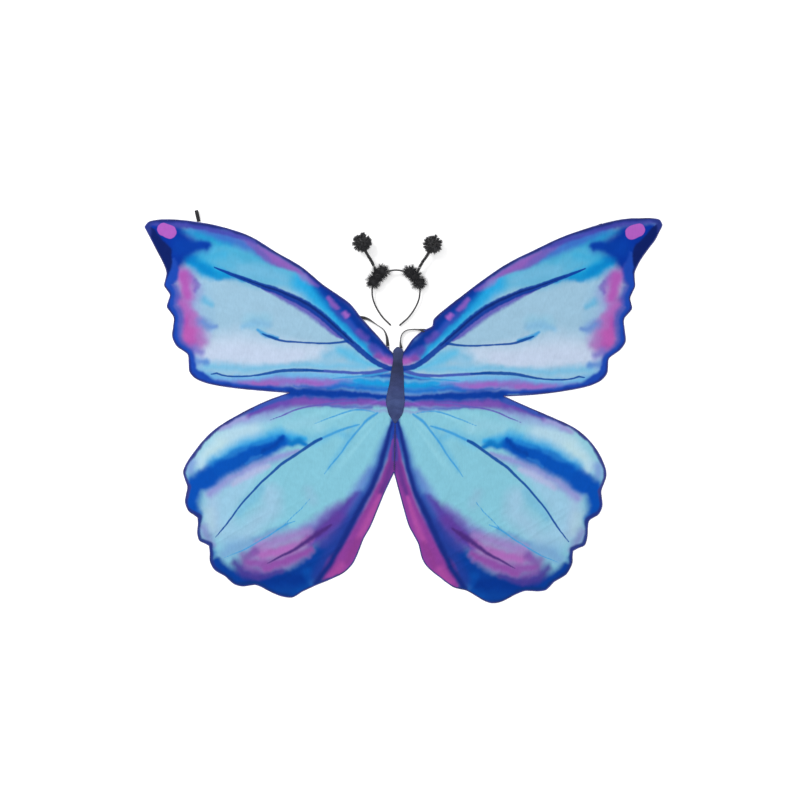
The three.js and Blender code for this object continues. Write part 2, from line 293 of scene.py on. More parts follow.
def sweep(path, section, up=(0, 0, 1), twist=None, size=None, closed=False):
    """Points and faces of a section carried along a path, and each point's place along it and across it.
    twist turns the section about the path, in radians, and size scales it. Both are given for each path
    point."""
    path = np.asarray(path, float)
    ahead, behind = np.roll(path, -1, axis=0), np.roll(path, 1, axis=0)
    if not closed:
        ahead[-1], behind[0] = path[-1], path[0]
    along = unit(ahead - behind)
    across = unit(np.cross(along, np.asarray(up, float)))
    lift = np.cross(across, along)
    if twist is not None:
        c, s = np.cos(twist)[:, None], np.sin(twist)[:, None]
        across, lift = c * across + s * lift, c * lift - s * across
    scale = np.ones(len(path)) if size is None else np.asarray(size, float)
    offsets = section[None, :, :] * scale[:, None, None]
    points = path[:, None, :] + offsets[..., :1] * across[:, None, :] + offsets[..., 1:] * lift[:, None, :]
    rings, sides = points.shape[:2]
    faces = []
    for i in range(rings if closed else rings - 1):
        this, following = i * sides, (i + 1) % rings * sides
        for j in range(sides):
            k = (j + 1) % sides
            faces.append((this + j, this + k, following + k, following + j))
    if not closed:
        faces += [tuple(range(sides)), tuple(range((rings - 1) * sides, rings * sides))]
    steps = np.linalg.norm(np.diff(path, axis=0), axis=1)
    run = np.repeat(np.concatenate([[0], np.cumsum(steps)]), sides)
    reach = np.tile(section[:, 0] / np.abs(section[:, 0]).max(), rings)
    return points.reshape(-1, 3), faces, run, reach


def join(parts):
    """Several (points, faces) lists as one."""
    points, faces, start = [], [], 0
    for part_points, part_faces in parts:
        points.append(part_points)
        faces += [tuple(start + i for i in face) for face in part_faces]
        start += len(part_points)
    return np.vstack(points), faces


def spline(knots, spacing):
    """Evenly spaced points on a smooth line through knots, which may be in a plane or in space."""
    knots = np.asarray(knots, float)
    padded = np.vstack([2 * knots[0] - knots[1], knots, 2 * knots[-1] - knots[-2]])
    fine = []
    for p0, p1, p2, p3 in zip(padded, padded[1:], padded[2:], padded[3:]):
        t1 = np.linalg.norm(p1 - p0) ** 0.5 + 1e-9
        t2 = t1 + np.linalg.norm(p2 - p1) ** 0.5 + 1e-9
        t3 = t2 + np.linalg.norm(p3 - p2) ** 0.5 + 1e-9
        t = np.linspace(t1, t2, 12, endpoint=False)[:, None]
        a1 = (t1 - t) / t1 * p0 + t / t1 * p1
        a2 = (t2 - t) / (t2 - t1) * p1 + (t - t1) / (t2 - t1) * p2
        a3 = (t3 - t) / (t3 - t2) * p2 + (t - t2) / (t3 - t2) * p3
        b1 = (t2 - t) / t2 * a1 + t / t2 * a2
        b2 = (t3 - t) / (t3 - t1) * a2 + (t - t1) / (t3 - t1) * a3
        fine.append((t2 - t) / (t2 - t1) * b1 + (t - t1) / (t2 - t1) * b2)
    fine = np.vstack(fine + [knots[-1:]])
    run = np.concatenate([[0], np.cumsum(np.linalg.norm(np.diff(fine, axis=0), axis=1))])
    count = max(int(round(run[-1] / spacing)), 1)
    even = np.linspace(0, run[-1], count + 1)
    return np.column_stack([np.interp(even, run, fine[:, k]) for k in range(fine.shape[1])])


# ---- noise and brush strokes ----
def smoothstep(low, high, x):
    t = np.clip((x - low) / (high - low), 0.0, 1.0)
    return t * t * (3.0 - 2.0 * t)


def lattice(ix, iy, seed):
    """A repeatable random number from 0 to 1 at each whole-number place."""
    h = (ix * 374761393 + iy * 668265263 + seed * 974711) & 0xFFFFFFFF
    h = ((h ^ (h >> 13)) * 1274126177) & 0xFFFFFFFF
    return ((h ^ (h >> 16)) & 0xFFFF) / 65535.0


def value_noise(x, y, size, seed):
    """Smooth noise from -1 to 1 with features of about the given size."""
    ix, iy = np.floor(x / size).astype(np.int64), np.floor(y / size).astype(np.int64)
    fx, fy = x / size - ix, y / size - iy
    fx, fy = fx * fx * (3 - 2 * fx), fy * fy * (3 - 2 * fy)
    low = lattice(ix, iy, seed) * (1 - fx) + lattice(ix + 1, iy, seed) * fx
    high = lattice(ix, iy + 1, seed) * (1 - fx) + lattice(ix + 1, iy + 1, seed) * fx
    return 2 * (low * (1 - fy) + high * fy) - 1


def cloud(x, y, size, seed, layers=3):
    """Layered noise, about -1 to 1."""
    total = sum(value_noise(x, y, size / 2**i, seed + 17 * i) * 0.5**i for i in range(layers))
    return total / 1.6


def stroke_distance(x, y, path):
    """How far each point is from a brush stroke's middle, as a share of its radius there.
    path is a list of (reach, height, radius)."""
    if len(path) == 1:
        path = path * 2
    nearest = np.full(x.shape, 1e9)
    for (x0, y0, r0), (x1, y1, r1) in zip(path, path[1:]):
        dx, dy = x1 - x0, y1 - y0
        t = np.clip(((x - x0) * dx + (y - y0) * dy) / (dx * dx + dy * dy + 1e-9), 0, 1)
        d = np.hypot(x - x0 - t * dx, y - y0 - t * dy)
        nearest = np.minimum(nearest, d / (r0 + t * (r1 - r0)))
    return nearest


def linear(code):
    """A linear-light colour from a six-digit hex code."""
    c = np.array([int(code[i : i + 2], 16) for i in (0, 2, 4)]) / 255
    return np.where(c <= 0.04045, c / 12.92, ((c + 0.055) / 1.055) ** 2.4)


def swatch(code):
    """The same colour as a tuple, for a node's socket."""
    return tuple(linear(code))


# Each wash is (colour, strength, softness, path), and a path is a list of (reach, height, radius).
# The wash has faded to nothing at the radius, and softness is the share of the radius over which it fades.
FOREWING = [
    ("A6CAE0", 1.0, 0.3, [(300, 230, 260), (520, 250, 200)]),
    # the paler lower half, warmest where it is furthest from the veins
    ("C6D7EB", 1.0, 0.75, [(170, 122, 20), (230, 122, 40), (320, 120, 58), (420, 128, 74), (500, 132, 60)]),
    ("CBD8EE", 0.8, 0.8, [(250, 116, 22), (330, 114, 34), (430, 118, 38), (500, 118, 30)]),
    ("9CCDE4", 0.8, 0.9, [(340, 208, 26), (385, 205, 26), (345, 180, 16)]),
    ("8CC0E2", 0.8, 0.95, [(330, 192, 14), (365, 196, 22), (400, 190, 12)]),
    ("88C4E2", 0.9, 0.95, [(110, 122, 22), (150, 124, 32), (185, 112, 26)]),
    ("6CC2E6", 0.95, 0.9, [(40, 88, 12), (80, 98, 24), (115, 112, 28), (145, 126, 18)]),
    ("7CC4E6", 0.8, 0.95, [(80, 84, 14), (160, 86, 16), (250, 88, 14), (320, 82, 18), (400, 78, 18),
        (500, 86, 22)]),
    ("9FC6E0", 0.7, 0.95, [(510, 290, 40), (500, 250, 34), (490, 210, 26)]),
    ("6DBCE0", 0.8, 0.9, [(505, 262, 18), (490, 250, 13)]),
    # the brighter upper half
    ("66B8DA", 1.0, 0.5, [(268, 318, 44), (340, 345, 62), (430, 374, 66), (510, 392, 54)]),
    ("7DBFDF", 0.9, 0.9, [(300, 312, 26), (350, 334, 36), (400, 340, 34)]),
    ("55B6DA", 0.8, 0.9, [(430, 395, 34), (400, 372, 24), (330, 372, 18)]),
    ("36B2E6", 1.0, 0.75, [(50, 112, 12), (85, 146, 20), (120, 180, 28), (160, 222, 34), (205, 268, 40),
        (245, 306, 42)]),
    ("1FA6E0", 0.85, 0.9, [(110, 182, 12), (150, 224, 18), (190, 262, 20), (225, 300, 20)]),
    ("22AAD8", 0.95, 0.8, [(440, 412, 20), (480, 420, 32), (520, 436, 28)]),
    ("1CA8DC", 1.0, 0.7, [(440, 325, 12), (480, 334, 28), (520, 354, 34), (556, 376, 26)]),
    ("0890D2", 0.9, 0.9, [(475, 328, 14), (505, 346, 22), (540, 366, 20)]),
    ("1C9AD4", 0.9, 0.9, [(375, 312, 5), (420, 322, 13), (470, 326, 18)]),
    ("3CB2DE", 0.6, 0.95, [(455, 380, 24), (505, 378, 26)]),
    ("2FA2DA", 0.9, 0.9, [(540, 440, 22), (575, 442, 20)]),
    # royal blue towards the tip
    ("0650B8", 0.95, 0.9, [(590, 400, 60), (545, 402, 50), (505, 402, 26)]),
    ("023FA8", 1.0, 0.55, [(640, 440, 44), (592, 428, 54), (566, 408, 44), (590, 370, 46), (592, 330, 26)]),
    ("034AB0", 1.0, 0.7, [(566, 402, 40), (530, 404, 24), (498, 402, 12)]),
    # pink and lavender blooms by the outer edge
    ("9CA4DA", 0.85, 0.95, [(545, 322, 34), (528, 285, 34), (545, 245, 36), (530, 205, 42),
        (520, 160, 44)]),
    ("8F80CA", 0.9, 0.8, [(556, 330, 22), (540, 318, 18), (526, 300, 10), (530, 284, 8)]),
    ("B868BE", 1.0, 0.8, [(562, 330, 27), (555, 302, 31), (552, 274, 28)]),
    ("9454B4", 0.8, 0.85, [(572, 262, 20), (562, 240, 22), (550, 224, 18)]),
    ("B772C2", 0.9, 0.85, [(556, 250, 24), (540, 218, 26), (525, 204, 16)]),
    ("B862BA", 1.0, 0.8, [(552, 208, 24), (546, 178, 38), (540, 150, 40)]),
    ("B67CC4", 0.8, 0.95, [(532, 222, 20), (520, 186, 34), (514, 150, 32)]),
    ("C268BA", 0.9, 0.9, [(542, 182, 26), (550, 156, 24)]),
    ("6E96D6", 0.85, 0.95, [(512, 205, 22), (492, 194, 22), (476, 192, 10)]),
    ("8078CC", 0.8, 0.9, [(532, 128, 24), (512, 120, 18)]),
    ("7C6CC0", 0.6, 0.9, [(526, 312, 9), (517, 298, 8), (526, 284, 9)]),
    ("3F7CD2", 0.7, 0.95, [(560, 102, 24), (526, 98, 18), (496, 96, 12)]),
    ("58A4E0", 0.8, 0.9, [(540, 78, 26), (505, 60, 22), (470, 52, 16)]),
]
FOREWING_LOWER = [
    # the band under the lowest vein
    ("7CBCE8", 1.0, 0.6, [(120, 56, 14), (180, 60, 16), (280, 60, 16), (350, 54, 16), (430, 48, 18),
        (500, 54, 20)]),
    ("8088D4", 0.95, 0.8, [(110, 42, 16), (180, 42, 22), (280, 42, 22), (400, 38, 20), (470, 40, 18)]),
    ("A27ACC", 0.75, 0.95, [(150, 40, 10), (180, 44, 17), (240, 46, 15), (300, 43, 15), (350, 42, 16),
        (405, 44, 10)]),
    ("A86CC6", 0.7, 0.95, [(190, 40, 9), (225, 42, 13), (262, 46, 8)]),
    ("B070C6", 0.7, 0.95, [(310, 38, 10), (345, 38, 12), (372, 42, 7)]),
    ("1A92DA", 1.0, 0.95, [(0, 40, 28), (40, 42, 32), (90, 38, 30), (140, 34, 16), (175, 30, 8)]),
    ("3F6CCC", 0.7, 0.9, [(110, 30, 8), (160, 34, 9), (215, 30, 7), (270, 32, 5)]),
    ("20A8E4", 0.9, 0.9, [(0, 34, 14), (40, 40, 16), (80, 44, 16), (105, 50, 8)]),
    ("7CC6EC", 0.7, 0.9, [(28, 54, 9), (60, 58, 8), (90, 58, 8), (130, 60, 8), (170, 62, 8)]),
    ("0F78D2", 0.9, 0.9, [(0, 22, 15), (50, 23, 15), (100, 27, 11)]),
    ("0D62BE", 0.95, 0.8, [(0, 65, 13), (20, 66, 12), (48, 63, 10), (80, 60, 6)]),
]
BOUNDARY = [
    # dark blue along the join between forewing and hindwing
    ("1C50B4", 1.0, 0.7, [(0, 2, 12), (70, 6, 15), (130, 12, 18), (200, 18, 20), (279, 14, 20)]),
    ("0C48A8", 1.0, 0.75, [(0, 1, 7), (80, 8, 8), (150, 15, 11), (220, 18, 12), (279, 14, 12)]),
]
HINDWING = [
    ("90CDDF", 1.0, 0.2, [(200, -180, 320), (400, -260, 260)]),
    # washes of the open field
    ("9DD2E4", 0.8, 0.95, [(280, -70, 36), (210, -62, 26), (200, -75, 24)]),
    ("78C2E2", 0.8, 0.95, [(240, -108, 26), (215, -112, 24), (150, -85, 18), (120, -96, 18)]),
    ("78C2E2", 0.7, 0.95, [(105, -70, 14), (125, -110, 14), (152, -155, 14), (172, -185, 12)]),
    ("A4D6EA", 0.8, 0.95, [(340, -60, 38), (375, -70, 36)]),
    ("BBDCEC", 1.0, 0.75, [(375, -80, 40), (430, -98, 50), (478, -135, 44), (508, -168, 34)]),
    ("C2E0E6", 0.7, 0.9, [(460, -120, 34), (492, -152, 26)]),
    ("A5D0E8", 0.95, 0.75, [(370, -195, 30), (425, -245, 56), (460, -300, 58), (440, -350, 56)]),
    ("AECBE6", 0.8, 0.9, [(480, -225, 34), (488, -290, 34), (478, -340, 30)]),
    ("B6D6E4", 0.6, 0.9, [(495, -300, 26), (490, -330, 26)]),
    ("A6CCE4", 0.9, 0.9, [(325, -250, 40), (325, -290, 44), (370, -330, 50), (400, -365, 44)]),
    ("85C4E0", 0.8, 0.9, [(352, -240, 20), (366, -262, 22), (392, -276, 22), (410, -300, 18)]),
    ("9CC6DE", 0.6, 0.95, [(225, -245, 24), (215, -268, 22)]),
    ("90B4DA", 0.85, 0.9, [(250, -345, 22), (320, -365, 26), (370, -385, 26)]),
    ("86B2DA", 0.9, 0.85, [(385, -385, 34), (430, -395, 44), (452, -412, 28)]),
    ("6C9CCE", 0.5, 0.9, [(290, -335, 12), (330, -352, 14), (370, -372, 12)]),
    ("8E94CC", 0.8, 0.9, [(508, -335, 20), (496, -362, 22), (484, -385, 18)]),
    ("8AA4DE", 0.8, 0.9, [(536, -170, 24), (538, -188, 22)]),
    # the broad blue brush stroke: its lit upper side, its body, then the shaded side beneath
    ("3CB0E8", 0.95, 0.85, [(236, -108, 12), (262, -104, 20), (300, -98, 30), (350, -108, 36),
        (410, -136, 38), (470, -176, 38)]),
    ("9C9CDA", 0.85, 0.9, [(256, -138, 7), (285, -146, 16), (335, -162, 26), (395, -188, 27),
        (450, -218, 24), (490, -248, 18)]),
    ("BCC2E6", 0.8, 0.9, [(330, -180, 10), (350, -184, 15), (385, -201, 15), (425, -224, 11)]),
    ("1484CC", 1.0, 0.75, [(234, -122, 9), (254, -112, 14), (272, -116, 15), (294, -110, 15)]),
    ("1478D0", 0.9, 0.9, [(296, -108, 24), (340, -124, 34), (395, -146, 36), (450, -176, 34),
        (500, -210, 34)]),
    ("025FC0", 1.0, 0.6, [(298, -100, 8), (304, -114, 22), (340, -130, 30), (395, -152, 31),
        (450, -182, 30), (500, -214, 32)]),
    ("2C92DC", 0.75, 0.9, [(326, -104, 10), (350, -112, 11), (372, -120, 6)]),
    ("2E86D4", 0.7, 0.9, [(398, -132, 8), (424, -142, 12), (446, -156, 7)]),
    ("3E8CD8", 0.6, 0.9, [(352, -146, 5), (378, -158, 8), (398, -170, 5)]),
    ("024EAC", 0.9, 0.9, [(300, -106, 11), (322, -122, 13), (350, -136, 11)]),
    ("035CBE", 1.0, 0.6, [(490, -205, 30), (525, -222, 34), (544, -248, 40), (542, -280, 38),
        (528, -308, 24)]),
    ("0E5AB2", 0.95, 0.9, [(496, -392, 18), (484, -410, 18)]),
    # purple towards the inner corner, over a deep blue lower edge
    ("7C9ED6", 0.9, 0.9, [(66, -186, 20), (84, -222, 26), (104, -252, 30)]),
    ("8A8CCC", 0.9, 0.9, [(150, -285, 24), (190, -315, 28), (235, -345, 26)]),
    ("064AA4", 1.0, 0.55, [(88, -262, 18), (112, -318, 34), (146, -368, 46), (185, -410, 52),
        (222, -446, 54), (270, -482, 56), (330, -492, 52), (390, -488, 50), (440, -472, 36),
        (474, -436, 22)]),
    ("0A4EA6", 1.0, 0.7, [(236, -500, 24), (272, -512, 26), (312, -514, 24)]),
    ("003F9A", 0.85, 0.9, [(240, -480, 26), (290, -470, 30), (340, -478, 28), (390, -478, 20)]),
    ("0A5EB8", 0.7, 0.95, [(232, -452, 20), (215, -495, 24), (250, -512, 24)]),
    ("6450AE", 1.0, 0.75, [(98, -256, 20), (128, -292, 34), (162, -328, 42), (200, -358, 38),
        (222, -375, 26)]),
    ("6E4AA8", 0.85, 0.9, [(150, -308, 20), (185, -336, 20), (220, -358, 18)]),
    ("4452AC", 0.8, 0.9, [(106, -312, 16), (140, -348, 22), (180, -380, 20)]),
    # pink washed in above the blue
    ("9A70BE", 0.95, 0.9, [(236, -404, 20), (290, -430, 26), (350, -440, 26), (380, -436, 18)]),
    ("A88CCC", 0.9, 0.9, [(225, -350, 20), (270, -362, 26), (320, -376, 28), (355, -386, 24)]),
    ("B074C0", 0.95, 0.85, [(222, -368, 16), (262, -388, 26), (305, -402, 28), (345, -408, 28),
        (372, -410, 20)]),
    ("B878C4", 0.8, 0.9, [(280, -396, 16), (300, -402, 18), (352, -416, 18)]),
    ("9A5CB0", 0.95, 0.85, [(222, -394, 14), (262, -412, 20), (300, -430, 22), (345, -446, 20)]),
    ("8A62B2", 0.9, 0.85, [(372, -402, 20), (392, -420, 26), (398, -446, 20), (366, -458, 18)]),
    ("9A62B4", 0.9, 0.9, [(346, -432, 16), (384, -432, 18)]),
    ("5446A0", 0.9, 0.9, [(420, -436, 20), (400, -462, 18), (360, -468, 14), (300, -452, 12)]),
]
HIND_TOP = [
    ("9CAEDE", 0.8, 0.9, [(290, -30, 26), (350, -42, 26), (410, -56, 24), (450, -74, 16)]),
    ("7458B6", 1.0, 0.75, [(0, -17, 13), (90, -8, 16), (160, -4, 20), (230, -4, 24), (285, -10, 26),
        (345, -22, 22), (390, -40, 12)]),
    ("8A62BC", 0.85, 0.9, [(20, -12, 12), (90, -10, 12), (160, -6, 14), (230, -8, 18), (270, -14, 14)]),
    ("9A90D4", 0.5, 0.9, [(0, -34, 7), (40, -33, 6), (90, -28, 5)]),
    ("5A62BE", 0.8, 0.9, [(60, -24, 7), (120, -22, 8), (190, -16, 6)]),
    ("6A62C0", 0.8, 0.9, [(300, 4, 12), (345, -12, 12), (380, -28, 10)]),
    ("A89CD8", 0.7, 0.9, [(395, -46, 16), (432, -60, 18), (462, -80, 12)]),
]
# Blots near the leading edge, laid over everything.
LEADING_BLOTS = [
    ("0B54B8", 1.0, 0.75, [(236, 338, 12), (205, 304, 22), (170, 268, 30), (135, 234, 34), (100, 200, 34),
        (66, 166, 32), (30, 130, 28), (0, 110, 22)]),
    ("083E9C", 0.9, 0.8, [(190, 296, 14), (150, 258, 18), (112, 222, 20), (76, 184, 20), (44, 150, 20),
        (14, 124, 18)]),
    ("3E54B6", 0.8, 0.9, [(160, 238, 14), (120, 200, 12), (84, 164, 14)]),
    ("9068C4", 0.95, 0.75, [(172, 262, 9), (163, 250, 12), (153, 241, 9)]),
    ("A66CC8", 0.95, 0.75, [(134, 228, 9), (125, 220, 10)]),
    ("6458B8", 0.9, 0.85, [(92, 178, 12), (72, 162, 14)]),
    ("5A5ABC", 0.95, 0.85, [(58, 138, 15), (38, 122, 18)]),
    ("8C5CB6", 1.0, 0.8, [(44, 116, 14), (22, 104, 17), (0, 96, 12)]),
    ("B56CC0", 0.85, 0.9, [(30, 104, 11), (16, 98, 11)]),
]
# Margins follow the wing's own edge: (colour, strength, softness in mm, [(place, near, far)...]).
# place counts 0 at the neck, 1 at the tip, 2 at the notch and 3 at the lower end. near and far are depths.
MARGINS_FORE = [
    ("4A74CC", 0.85, 22, [(0.4, 6, 8), (0.5, 6, 30), (0.62, 6, 38), (0.72, 6, 38), (0.8, 6, 28),
        (0.86, 6, 8)]),
    ("7E6AC0", 0.9, 12, [(0.36, 6, 8), (0.42, 6, 22), (0.46, 6, 28), (0.52, 6, 34), (0.58, 6, 28),
        (0.64, 6, 18), (0.7, 4, 8)]),
    ("A66CC0", 0.6, 16, [(0.31, 8, 10), (0.34, 8, 22), (0.38, 8, 26), (0.41, 8, 18), (0.44, 8, 24),
        (0.5, 8, 26), (0.54, 8, 16), (0.58, 8, 10)]),
    ("5254B6", 0.9, 10, [(0.58, 6, 10), (0.66, 6, 20), (0.76, 6, 20), (0.84, 6, 16), (0.92, 5, 10)]),
    ("4E51B0", 0.9, 10, [(0.72, 2, 6), (0.8, 4, 18), (0.88, 4, 21), (0.96, 4, 16), (1.0, 0, 10)]),
    ("2A3C98", 0.85, 7, [(0.0, 0, 4), (0.2, 0, 8), (0.4, 0, 7), (0.7, 0, 8), (1.0, 0, 9)]),
    ("28347E", 0.9, 4, [(0.0, 0, 3), (0.3, 0, 4), (0.6, 0, 5), (0.8, 0, 5), (1.0, 0, 5)]),
    ("5460BE", 0.9, 16, [(1.15, 0, 8), (1.2, 0, 30), (1.26, 0, 30), (1.3, 0, 26), (1.36, 0, 29),
        (1.42, 0, 25), (1.5, 0, 25), (1.55, 0, 17), (1.6, 0, 10)]),
    ("2556BC", 1.0, 10, [(1.16, 0, 34), (1.2, 0, 32), (1.24, 0, 24), (1.29, 0, 14), (1.33, 0, 18),
        (1.38, 0, 13), (1.45, 0, 14), (1.5, 0, 13), (1.55, 0, 14), (1.6, 0, 18), (1.66, 0, 24),
        (1.72, 0, 14), (1.85, 0, 12), (1.93, 0, 14), (2.0, 0, 16)]),
    ("27409A", 0.9, 4, [(1.2, 0, 5), (1.5, 0, 5), (1.7, 0, 6), (2.0, 0, 6)]),
    ("122A72", 1.0, 7, [(0.975, 0, 2), (1.01, 0, 16), (1.05, 0, 24), (1.09, 0, 30), (1.13, 0, 34),
        (1.17, 0, 24), (1.2, 0, 8), (1.23, 0, 2)]),
    ("3B4A9C", 0.8, 10, [(0.955, 0, 4), (1.0, 0, 18), (1.02, 0, 16), (1.05, 0, 4)]),
]
MARGINS_HIND = [
    ("3E62BA", 0.9, 8, [(2.0, 0, 16), (2.05, 0, 14), (2.1, 0, 8), (2.14, 0, 4)]),
    ("464E98", 1.0, 4, [(2.08, 0, 4), (2.16, 0, 6), (2.24, 0, 8), (2.32, 0, 8), (2.36, 0, 6)]),
    ("2E4090", 0.95, 5, [(2.34, 0, 5), (2.39, 0, 10), (2.42, 0, 8), (2.46, 0, 10), (2.5, 0, 10),
        (2.53, 0, 8), (2.6, 0, 6)]),
    ("16428C", 0.9, 8, [(2.52, 0, 8), (2.58, 0, 10), (2.66, 0, 8), (2.75, 0, 5), (2.8, 0, 4)]),
]
CENTRE_STRIP = [
    ("4A7AC8", 0.85, 0.9, [(12, -78, 16), (28, -130, 26), (44, -180, 30), (72, -240, 32), (104, -300, 32)]),
    ("2C4AA4", 0.9, 0.8, [(8, -72, 8), (24, -122, 14), (40, -180, 18), (66, -240, 20), (96, -290, 22),
        (130, -345, 26), (165, -400, 28), (205, -468, 26)]),
    ("2C52B2", 1.0, 0.6, [(0, -56, 16), (0, -86, 18), (0, -112, 22), (4, -150, 24)]),
    ("9A4CA6", 1.0, 0.3, [(0, -112, 10), (-2, -135, 18), (2, -170, 24), (14, -215, 30), (44, -280, 32),
        (78, -345, 34), (112, -405, 36), (140, -450, 48), (160, -490, 44)]),
    ("6A4096", 0.85, 0.9, [(0, -130, 14), (8, -172, 18), (22, -215, 18), (36, -245, 12)]),
    ("B85CAE", 0.9, 0.85, [(40, -256, 9), (62, -300, 14), (84, -345, 15), (98, -368, 10)]),
    ("9A4A9C", 0.8, 0.9, [(96, -372, 14), (118, -410, 18), (128, -432, 12)]),
    ("B65AAC", 0.9, 0.9, [(142, -440, 20), (165, -470, 22)]),
    ("5850A8", 0.9, 0.8, [(0, -98, 8), (2, -128, 9), (4, -160, 7)]),
    ("20398E", 1.0, 0.75, [(9, -62, 6), (22, -112, 8), (38, -176, 9), (62, -236, 9), (92, -286, 10),
        (116, -332, 11), (138, -374, 12), (172, -436, 13), (208, -486, 12)]),
    ("3A3080", 0.8, 0.9, [(0, -70, 4), (0, -120, 4), (0, -195, 4)]),
]
# Veins are (name, colour, softness, paths), and the later ones lie on top. The last is no vein but painted
# shade along a soft fold across the hindwing, drawn the same way.
VEINS_AND_FOLD_SHADE = [
    ("vein_mauve", "625CB6", 0.75, [
        [(350, 292, 5), (300, 270, 13), (250, 244, 16), (200, 210, 16), (160, 174, 11), (140, 160, 5)],
        [(330, -57, 1.5), (300, -46, 2.6), (265, -30, 3.4), (230, -20, 3.4), (190, -15, 3.2), (140, -7, 3),
         (100, -5, 2)],
    ]),
    ("vein_sky", "3F9CD8", 0.85, [
        [(450, -418, 1.5), (400, -398, 2.6), (360, -376, 3), (320, -352, 3.2), (295, -335, 3.6),
         (262, -322, 2)],
        [(292, -332, 2), (265, -306, 2.2), (245, -286, 2.2), (225, -262, 1.6)],
        [(186, -199, 2), (165, -170, 3.4), (140, -140, 3.6), (118, -108, 4.2), (100, -85, 4.2),
         (78, -60, 5), (60, -46, 6), (45, -36, 4)],
        [(215, -114, 4), (170, -94, 5.4), (130, -78, 5.4), (95, -67, 3)],
        [(215, -67, 1.5), (190, -57, 2.4), (150, -42, 3.2), (115, -31, 3.4), (85, -29, 3.2), (55, -34, 2)],
        [(362, 182, 6), (340, 168, 10), (310, 160, 7)],
        [(165, 54, 2), (120, 57, 4), (80, 60, 4.6), (45, 66, 6), (18, 72, 5)],
    ]),
    ("vein_violet", "3F55B2", 0.65, [
        [(240, 76, 4), (180, 73, 5.6), (130, 69, 5.4), (90, 68, 5.4), (50, 71, 7), (16, 78, 8), (0, 79, 8)],
    ]),
    ("vein_blue", "0F4C9E", 0.55, [
        [(350, 172, 2), (330, 164, 5), (300, 153, 4.2), (260, 149, 3.2), (220, 148, 3.2), (180, 147, 3.4),
         (150, 149, 4), (125, 152, 5)],
        [(485, 65, 2), (477, 69, 3.4), (460, 64, 3.4), (440, 60, 3.2), (400, 59, 3.2), (370, 61, 3.4),
         (340, 66, 4.6), (310, 73, 5.6), (270, 76, 6), (230, 76, 5.6), (190, 74, 3)],
        [(472, -365, 2), (440, -325, 3), (400, -272, 3.2), (350, -218, 3.8), (330, -200, 4.3),
         (300, -172, 5), (270, -152, 5.4), (240, -132, 5), (215, -115, 5.4), (194, -105, 5)],
    ]),
    ("vein_main", "083A9A", 0.42, [
        [(478, 347, 2), (450, 335, 4.4), (400, 317, 7), (360, 301, 9), (330, 291, 10.5), (300, 279, 11.5),
         (250, 256, 12.5), (200, 225, 13), (150, 180, 11.5), (125, 158, 10), (100, 136, 9.5), (75, 114, 9),
         (50, 96, 8.5), (16, 80, 8), (0, 77, 8)],
    ]),
    ("vein_dark", "072673", 0.9, [
        [(430, 328, 1.5), (360, 302, 3.6), (300, 281, 5), (250, 259, 5.5), (200, 228, 5.5), (150, 183, 4.5),
         (110, 147, 3)],
    ]),
    # painted shade: the shadow of a soft fold across the hindwing, in plum
    ("painted_fold_shade", "4A2C7C", 0.9, [
        [(168, -332, 5), (195, -350, 11), (222, -368, 11), (255, -390, 8), (300, -414, 5), (338, -434, 2)],
    ]),
]
INK_BRIGHTNESS = 0.975
INK_DEPTH = 1.14  # a power above 1 deepens the dark colours more than the pale ones
TIP_SPOT = [(610, 447, 18), (594, 440, 19)]


def paint(colour, washes, x, y):
    for code, strength, softness, path in washes:
        amount = 1 - smoothstep(1 - 1.15 * softness, 1.1, stroke_distance(x, y, path))
        colour += (strength * amount)[..., None] * (linear(code) - colour)


def paint_margin(colour, margins, place, depth):
    for code, strength, soft, profile in margins:
        places, near, far = (np.array(column, float) for column in zip(*profile))
        inner = np.interp(place, places, near)
        outer = np.interp(place, places, far)
        inside = (place >= places[0]) & (place <= places[-1])
        amount = smoothstep(inner - soft / 2, inner + soft / 2, depth + (inner < 0.5) * soft)
        amount = amount * (1 - smoothstep(outer - soft / 2, outer + soft / 2, depth)) * inside
        colour += (strength * amount)[..., None] * (linear(code) - colour)


def wing_print(x, y, place, depth):
    """Linear colours of the print, without its veins, at points in millimetres of reach x and height y, with
    painted highlights along the creases near the body. place says how far along the wing's free edge the
    nearest spot is, and depth how far in it is, in mm."""
    wx = x + 6 * cloud(x, y, 60, SEED) + 3.5 * cloud(x, y, 15, SEED + 5)
    wy = y + 6 * cloud(x, y, 60, SEED + 11) + 3.5 * cloud(x, y, 15, SEED + 23)
    fore = np.zeros(x.shape + (3,)) + linear("A9CBE0")
    paint(fore, FOREWING, wx, wy)
    paint(fore, FOREWING_LOWER, wx, wy)
    rough_depth = depth + 3.5 * cloud(x, y, 22, SEED + 31)
    paint(fore, LEADING_BLOTS, wx, wy)
    paint_margin(fore, MARGINS_FORE, place, rough_depth)
    hind = np.zeros(x.shape + (3,)) + linear("8FCBDD")
    paint(hind, HINDWING, wx, wy)
    paint(hind, HIND_TOP, wx, wy)
    paint(hind, CENTRE_STRIP, x + 1.5 * cloud(x, y, 18, SEED + 3), y)
    paint_margin(hind, MARGINS_HIND, place, rough_depth)
    border = 4 + 0.045 * np.maximum(x - 60, 0)
    lower = (1 - smoothstep(-6, 6, wy - border))[..., None]
    colour = fore * (1 - lower) + hind * lower
    paint(colour, BOUNDARY, wx, wy)
    # painted highlight: pale streaks where the creases that spread from the body catch the light
    rays = value_noise(np.arctan2(y - 20, x + 20) * 16, np.hypot(x, y - 20) / 110, 1.0, SEED + 47)
    near_body = 1 - smoothstep(120, 330, np.hypot(x, y - 20))
    creases = np.clip(rays - 0.35, 0, 1) * near_body
    colour += (0.5 * creases)[..., None] * (1 - colour) * colour
    # faint streaks of the brush
    grain = 1 + 0.035 * cloud(x * 0.5 + y * 0.4, y - x * 0.5, 9, SEED + 41)
    grain += 0.03 * cloud(x, y, 30, SEED + 43)
    return np.clip(INK_BRIGHTNESS * colour * grain[..., None], 0, 1) ** INK_DEPTH


